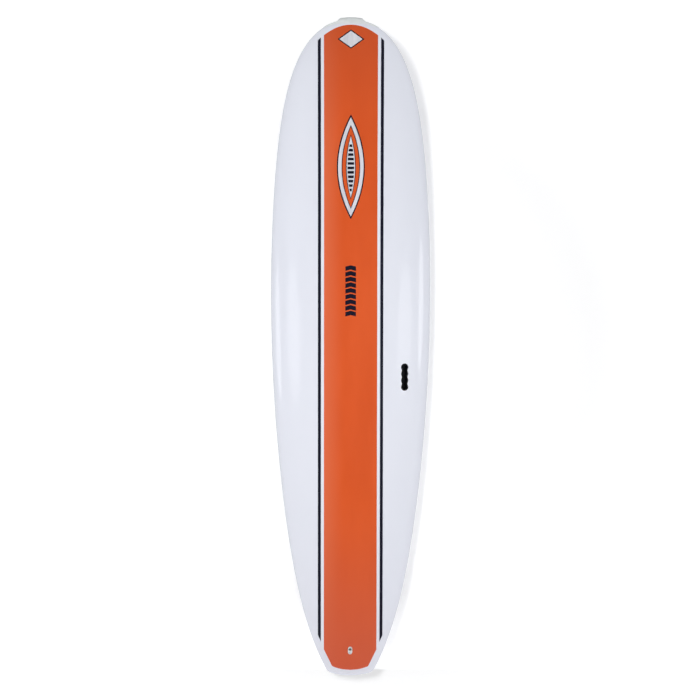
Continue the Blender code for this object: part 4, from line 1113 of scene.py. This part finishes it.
def square_on(tree):
    """1 for a camera ray that runs nearly square to the deck, 0 for any other ray."""
    facing = reach_along(tree, add_node(tree, "NewGeometry")["Incoming"], (0, -1, 0))
    return arithmetic(tree, "MULTIPLY", spread(tree, facing, 0.0, 1.0, 0.86, 0.88),
                      add_node(tree, "LightPath")["Is Camera Ray"])


def mixed(tree, share, first, second):
    return add_node(tree, "MixShader", {0: share, 1: first, 2: second})[0]


def glowing(tree, strength, base):
    """White glow of a given strength on top of another shader."""
    glow = add_node(tree, "Emission", {"Strength": strength})[0]
    return add_node(tree, "AddShader", {0: base, 1: glow})[0]


def growing(tree, reach, strength):
    """Strength that grows with the distance from the middle of the board."""
    place = add_node(tree, "NewGeometry")["Position"]
    distance = add_node(tree, "VectorMath", {0: place}, operation="LENGTH")["Value"]
    return spread(tree, distance, *strength, *reach)


def clear_shader(tree):
    return add_node(tree, "BsdfTransparent")[0]


def show(tree, surface):
    tree.links.new(surface, tree.nodes["Material Output"].inputs["Surface"])


def floor_look():
    """Pale matt floor, which gives way to the card in square views.

    The camera sees it fade into the white surroundings far from the board.
    """
    made, tree = new_material("studio_floor")
    fade = arithmetic(tree, "MULTIPLY", add_node(tree, "LightPath")["Is Camera Ray"],
                      growing(tree, (1.6, 4.5), (0.0, 0.85)))
    dress(made, {
        "Base Color": ramp(tree, noise(tree, 1.5), (0.90, 0.90, 0.91), (0.93, 0.93, 0.94)),
        "Roughness": 0.9,
        "Specular IOR Level": 0.1,
        "Emission Color": (1, 1, 1, 1),
        "Emission Strength": arithmetic(tree, "ADD", fade, 0.22),
    })
    matt = tree.nodes["Principled BSDF"].outputs[0]
    show(tree, mixed(tree, square_on(tree), matt, clear_shader(tree)))
    return made


def card_look():
    """White card that shows only in square views; its glow grows away from the board."""
    made, tree = new_material("studio_card")
    card = add_node(tree, "BsdfDiffuse", {"Color": (0.96, 0.96, 0.96, 1)})[0]
    lit = glowing(tree, growing(tree, (1.0, 1.9), (0.14, 0.60)), card)
    show(tree, mixed(tree, square_on(tree), clear_shader(tree), lit))
    return made


def area_light(name, place, size, power, spread_angle=180):
    """Soft square light aimed at the middle of the board, not seen in reflections."""
    data = bpy.data.lights.new(name, "AREA")
    data.size = size
    data.energy = power
    data.spread = math.radians(spread_angle)
    lamp = place_object(name, data)
    lamp.location = place
    lamp.rotation_euler = (-Vector(place)).to_track_quat("-Z", "Y").to_euler()
    lamp.visible_glossy = False
    lamp.visible_camera = False


def soft_panel_look(name, strength, squareness=2.6):
    """Glow inside a squarish oval, with a soft edge."""
    made, tree = new_material(name)
    terms = []
    for axis in ("X", "Y"):
        centred = arithmetic(tree, "SUBTRACT", coordinate(tree, "Generated", axis), 0.5)
        away = arithmetic(tree, "ABSOLUTE", centred, 0.0)
        share = arithmetic(tree, "MULTIPLY", away, 2.0)
        terms.append(arithmetic(tree, "POWER", share, squareness))
    fade = spread(tree, arithmetic(tree, "ADD", *terms), 0.0, 1.0, 1.0, 0.55, "SMOOTHSTEP")
    show(tree, glowing(tree, arithmetic(tree, "MULTIPLY", fade, strength), clear_shader(tree)))
    return made


def reflected_panel(name, angle, spread_angle, middle_z, height, strength, distance=3.2):
    """Tall soft panel that is only seen in the gloss, at an angle off square to the deck."""
    turn = math.radians(angle)
    centre = Vector((math.sin(turn) * distance, -math.cos(turn) * distance, middle_z))
    corners = rectangle(distance * math.tan(math.radians(spread_angle / 2)), height / 2)
    panel = plane(name, [(x, y, 0) for x, y in corners], soft_panel_look(name, strength))
    upright = Matrix.Rotation(math.radians(90), 4, "X")
    panel.matrix_world = Matrix.Translation(centre) @ Matrix.Rotation(turn, 4, "Z") @ upright
    for way in ("camera", "diffuse", "transmission", "volume_scatter", "shadow"):
        setattr(panel, f"visible_{way}", False)


def directional(tree, direction, low, high):
    """Sky whose strength changes along a direction, given its value at each end of a range."""
    reach = reach_along(tree, add_node(tree, "TexCoord")["Generated"], direction)
    level = spread(tree, reach, low[1], high[1], low[0], high[0])
    return add_node(tree, "Background", {"Color": (0.97, 0.98, 1.0, 1), "Strength": level})[0]


def make_world():
    """White to the camera, dim all round for the light, brighter behind in reflections."""
    world = bpy.data.worlds.new("studio_world")
    world.use_nodes = True
    bpy.context.scene.world = world
    tree = world.node_tree
    seen = tree.nodes["Background"]
    seen.inputs["Color"].default_value = (1, 1, 1, 1)
    lighting = directional(tree, (0.8, 0.6, 0), (-0.8, 0.09), (1.0, 0.74))
    mirrored = directional(tree, (0, 1, 0), (-0.95, 0.10), (0.10, 0.95))
    path = add_node(tree, "LightPath")
    unseen = mixed(tree, path["Is Glossy Ray"], lighting, mirrored)
    tree.links.new(mixed(tree, path["Is Camera Ray"], unseen, seen.outputs[0]),
                   tree.nodes["World Output"].inputs["Surface"])


def make_studio():
    floor_z = cad_low.z - FLOOR_GAP
    corners = rectangle(STUDIO_HALF, STUDIO_HALF)
    floor = plane("studio_floor", [(x, y, floor_z) for x, y in corners], floor_look())
    floor.visible_glossy = False
    floor.visible_shadow = False
    plane("studio_card", [(x, CARD_Y, z) for x, z in corners], card_look())
    area_light("key", (-1.6, -3.9, 1.05), 1.1, 38.0, 125)
    area_light("fill", (0.6, -3.6, -0.15), 2.0, 11.4, 120)
    area_light("back_key", (2.6, 4.0, 1.4), 1.4, 52)
    area_light("back_fill", (-2.2, 4.2, 0.3), 2.0, 16)
    reflected_panel("deck_panel_left", -24.2, 11.4, 0.015, 1.10, 1.15)
    reflected_panel("deck_panel_right", 21.9, 10.6, 0.03, 1.06, 1.15)
    reflected_panel("rail_panel_left", -49.3, 17.5, -0.01, 1.16, 1.9)
    reflected_panel("rail_panel_right", 40.9, 10.8, 0.20, 1.04, 2.3)
    make_world()
    bpy.context.scene.view_settings.view_transform = "Standard"


CAMERA_DISTANCE = 4.0
CAMERA_FIELD = 0.7  # width of the picture, as a share of the distance
CAMERA_ELEVATION = math.radians(1.7)
CAMERA_ROLL = math.radians(0.082)


def make_camera():
    """Nearly square on to the deck, a little above the middle."""
    data = bpy.data.cameras.new("camera")
    data.sensor_width = 36.0
    data.lens = data.sensor_width / CAMERA_FIELD
    camera = place_object("camera", data)
    target = Vector((-0.0022, -THICKNESS / 2, 0.0124))
    back = Vector((0, -math.cos(CAMERA_ELEVATION), math.sin(CAMERA_ELEVATION)))
    roll = Quaternion((0, 0, 1), CAMERA_ROLL)
    camera.location = target + back * CAMERA_DISTANCE
    camera.rotation_euler = ((-back).to_track_quat("-Z", "Y") @ roll).to_euler()
    bpy.context.scene.camera = camera


make_hull()
make_graphics()
make_grip()
make_leash_plug()
make_vent_screw()
make_vent_seal()
make_fin_box()
make_centre_fin()
make_fin_fasteners()
for side, sign in SIDES.items():
    make_side_box(side, SIDE_FRAMES[side])
    make_side_blade(side, SIDE_FRAMES[side], sign)
    make_side_grub(side, SIDE_FRAMES[side])
make_nose_guard()
finish_inner_nodes()
make_studio()
make_camera()
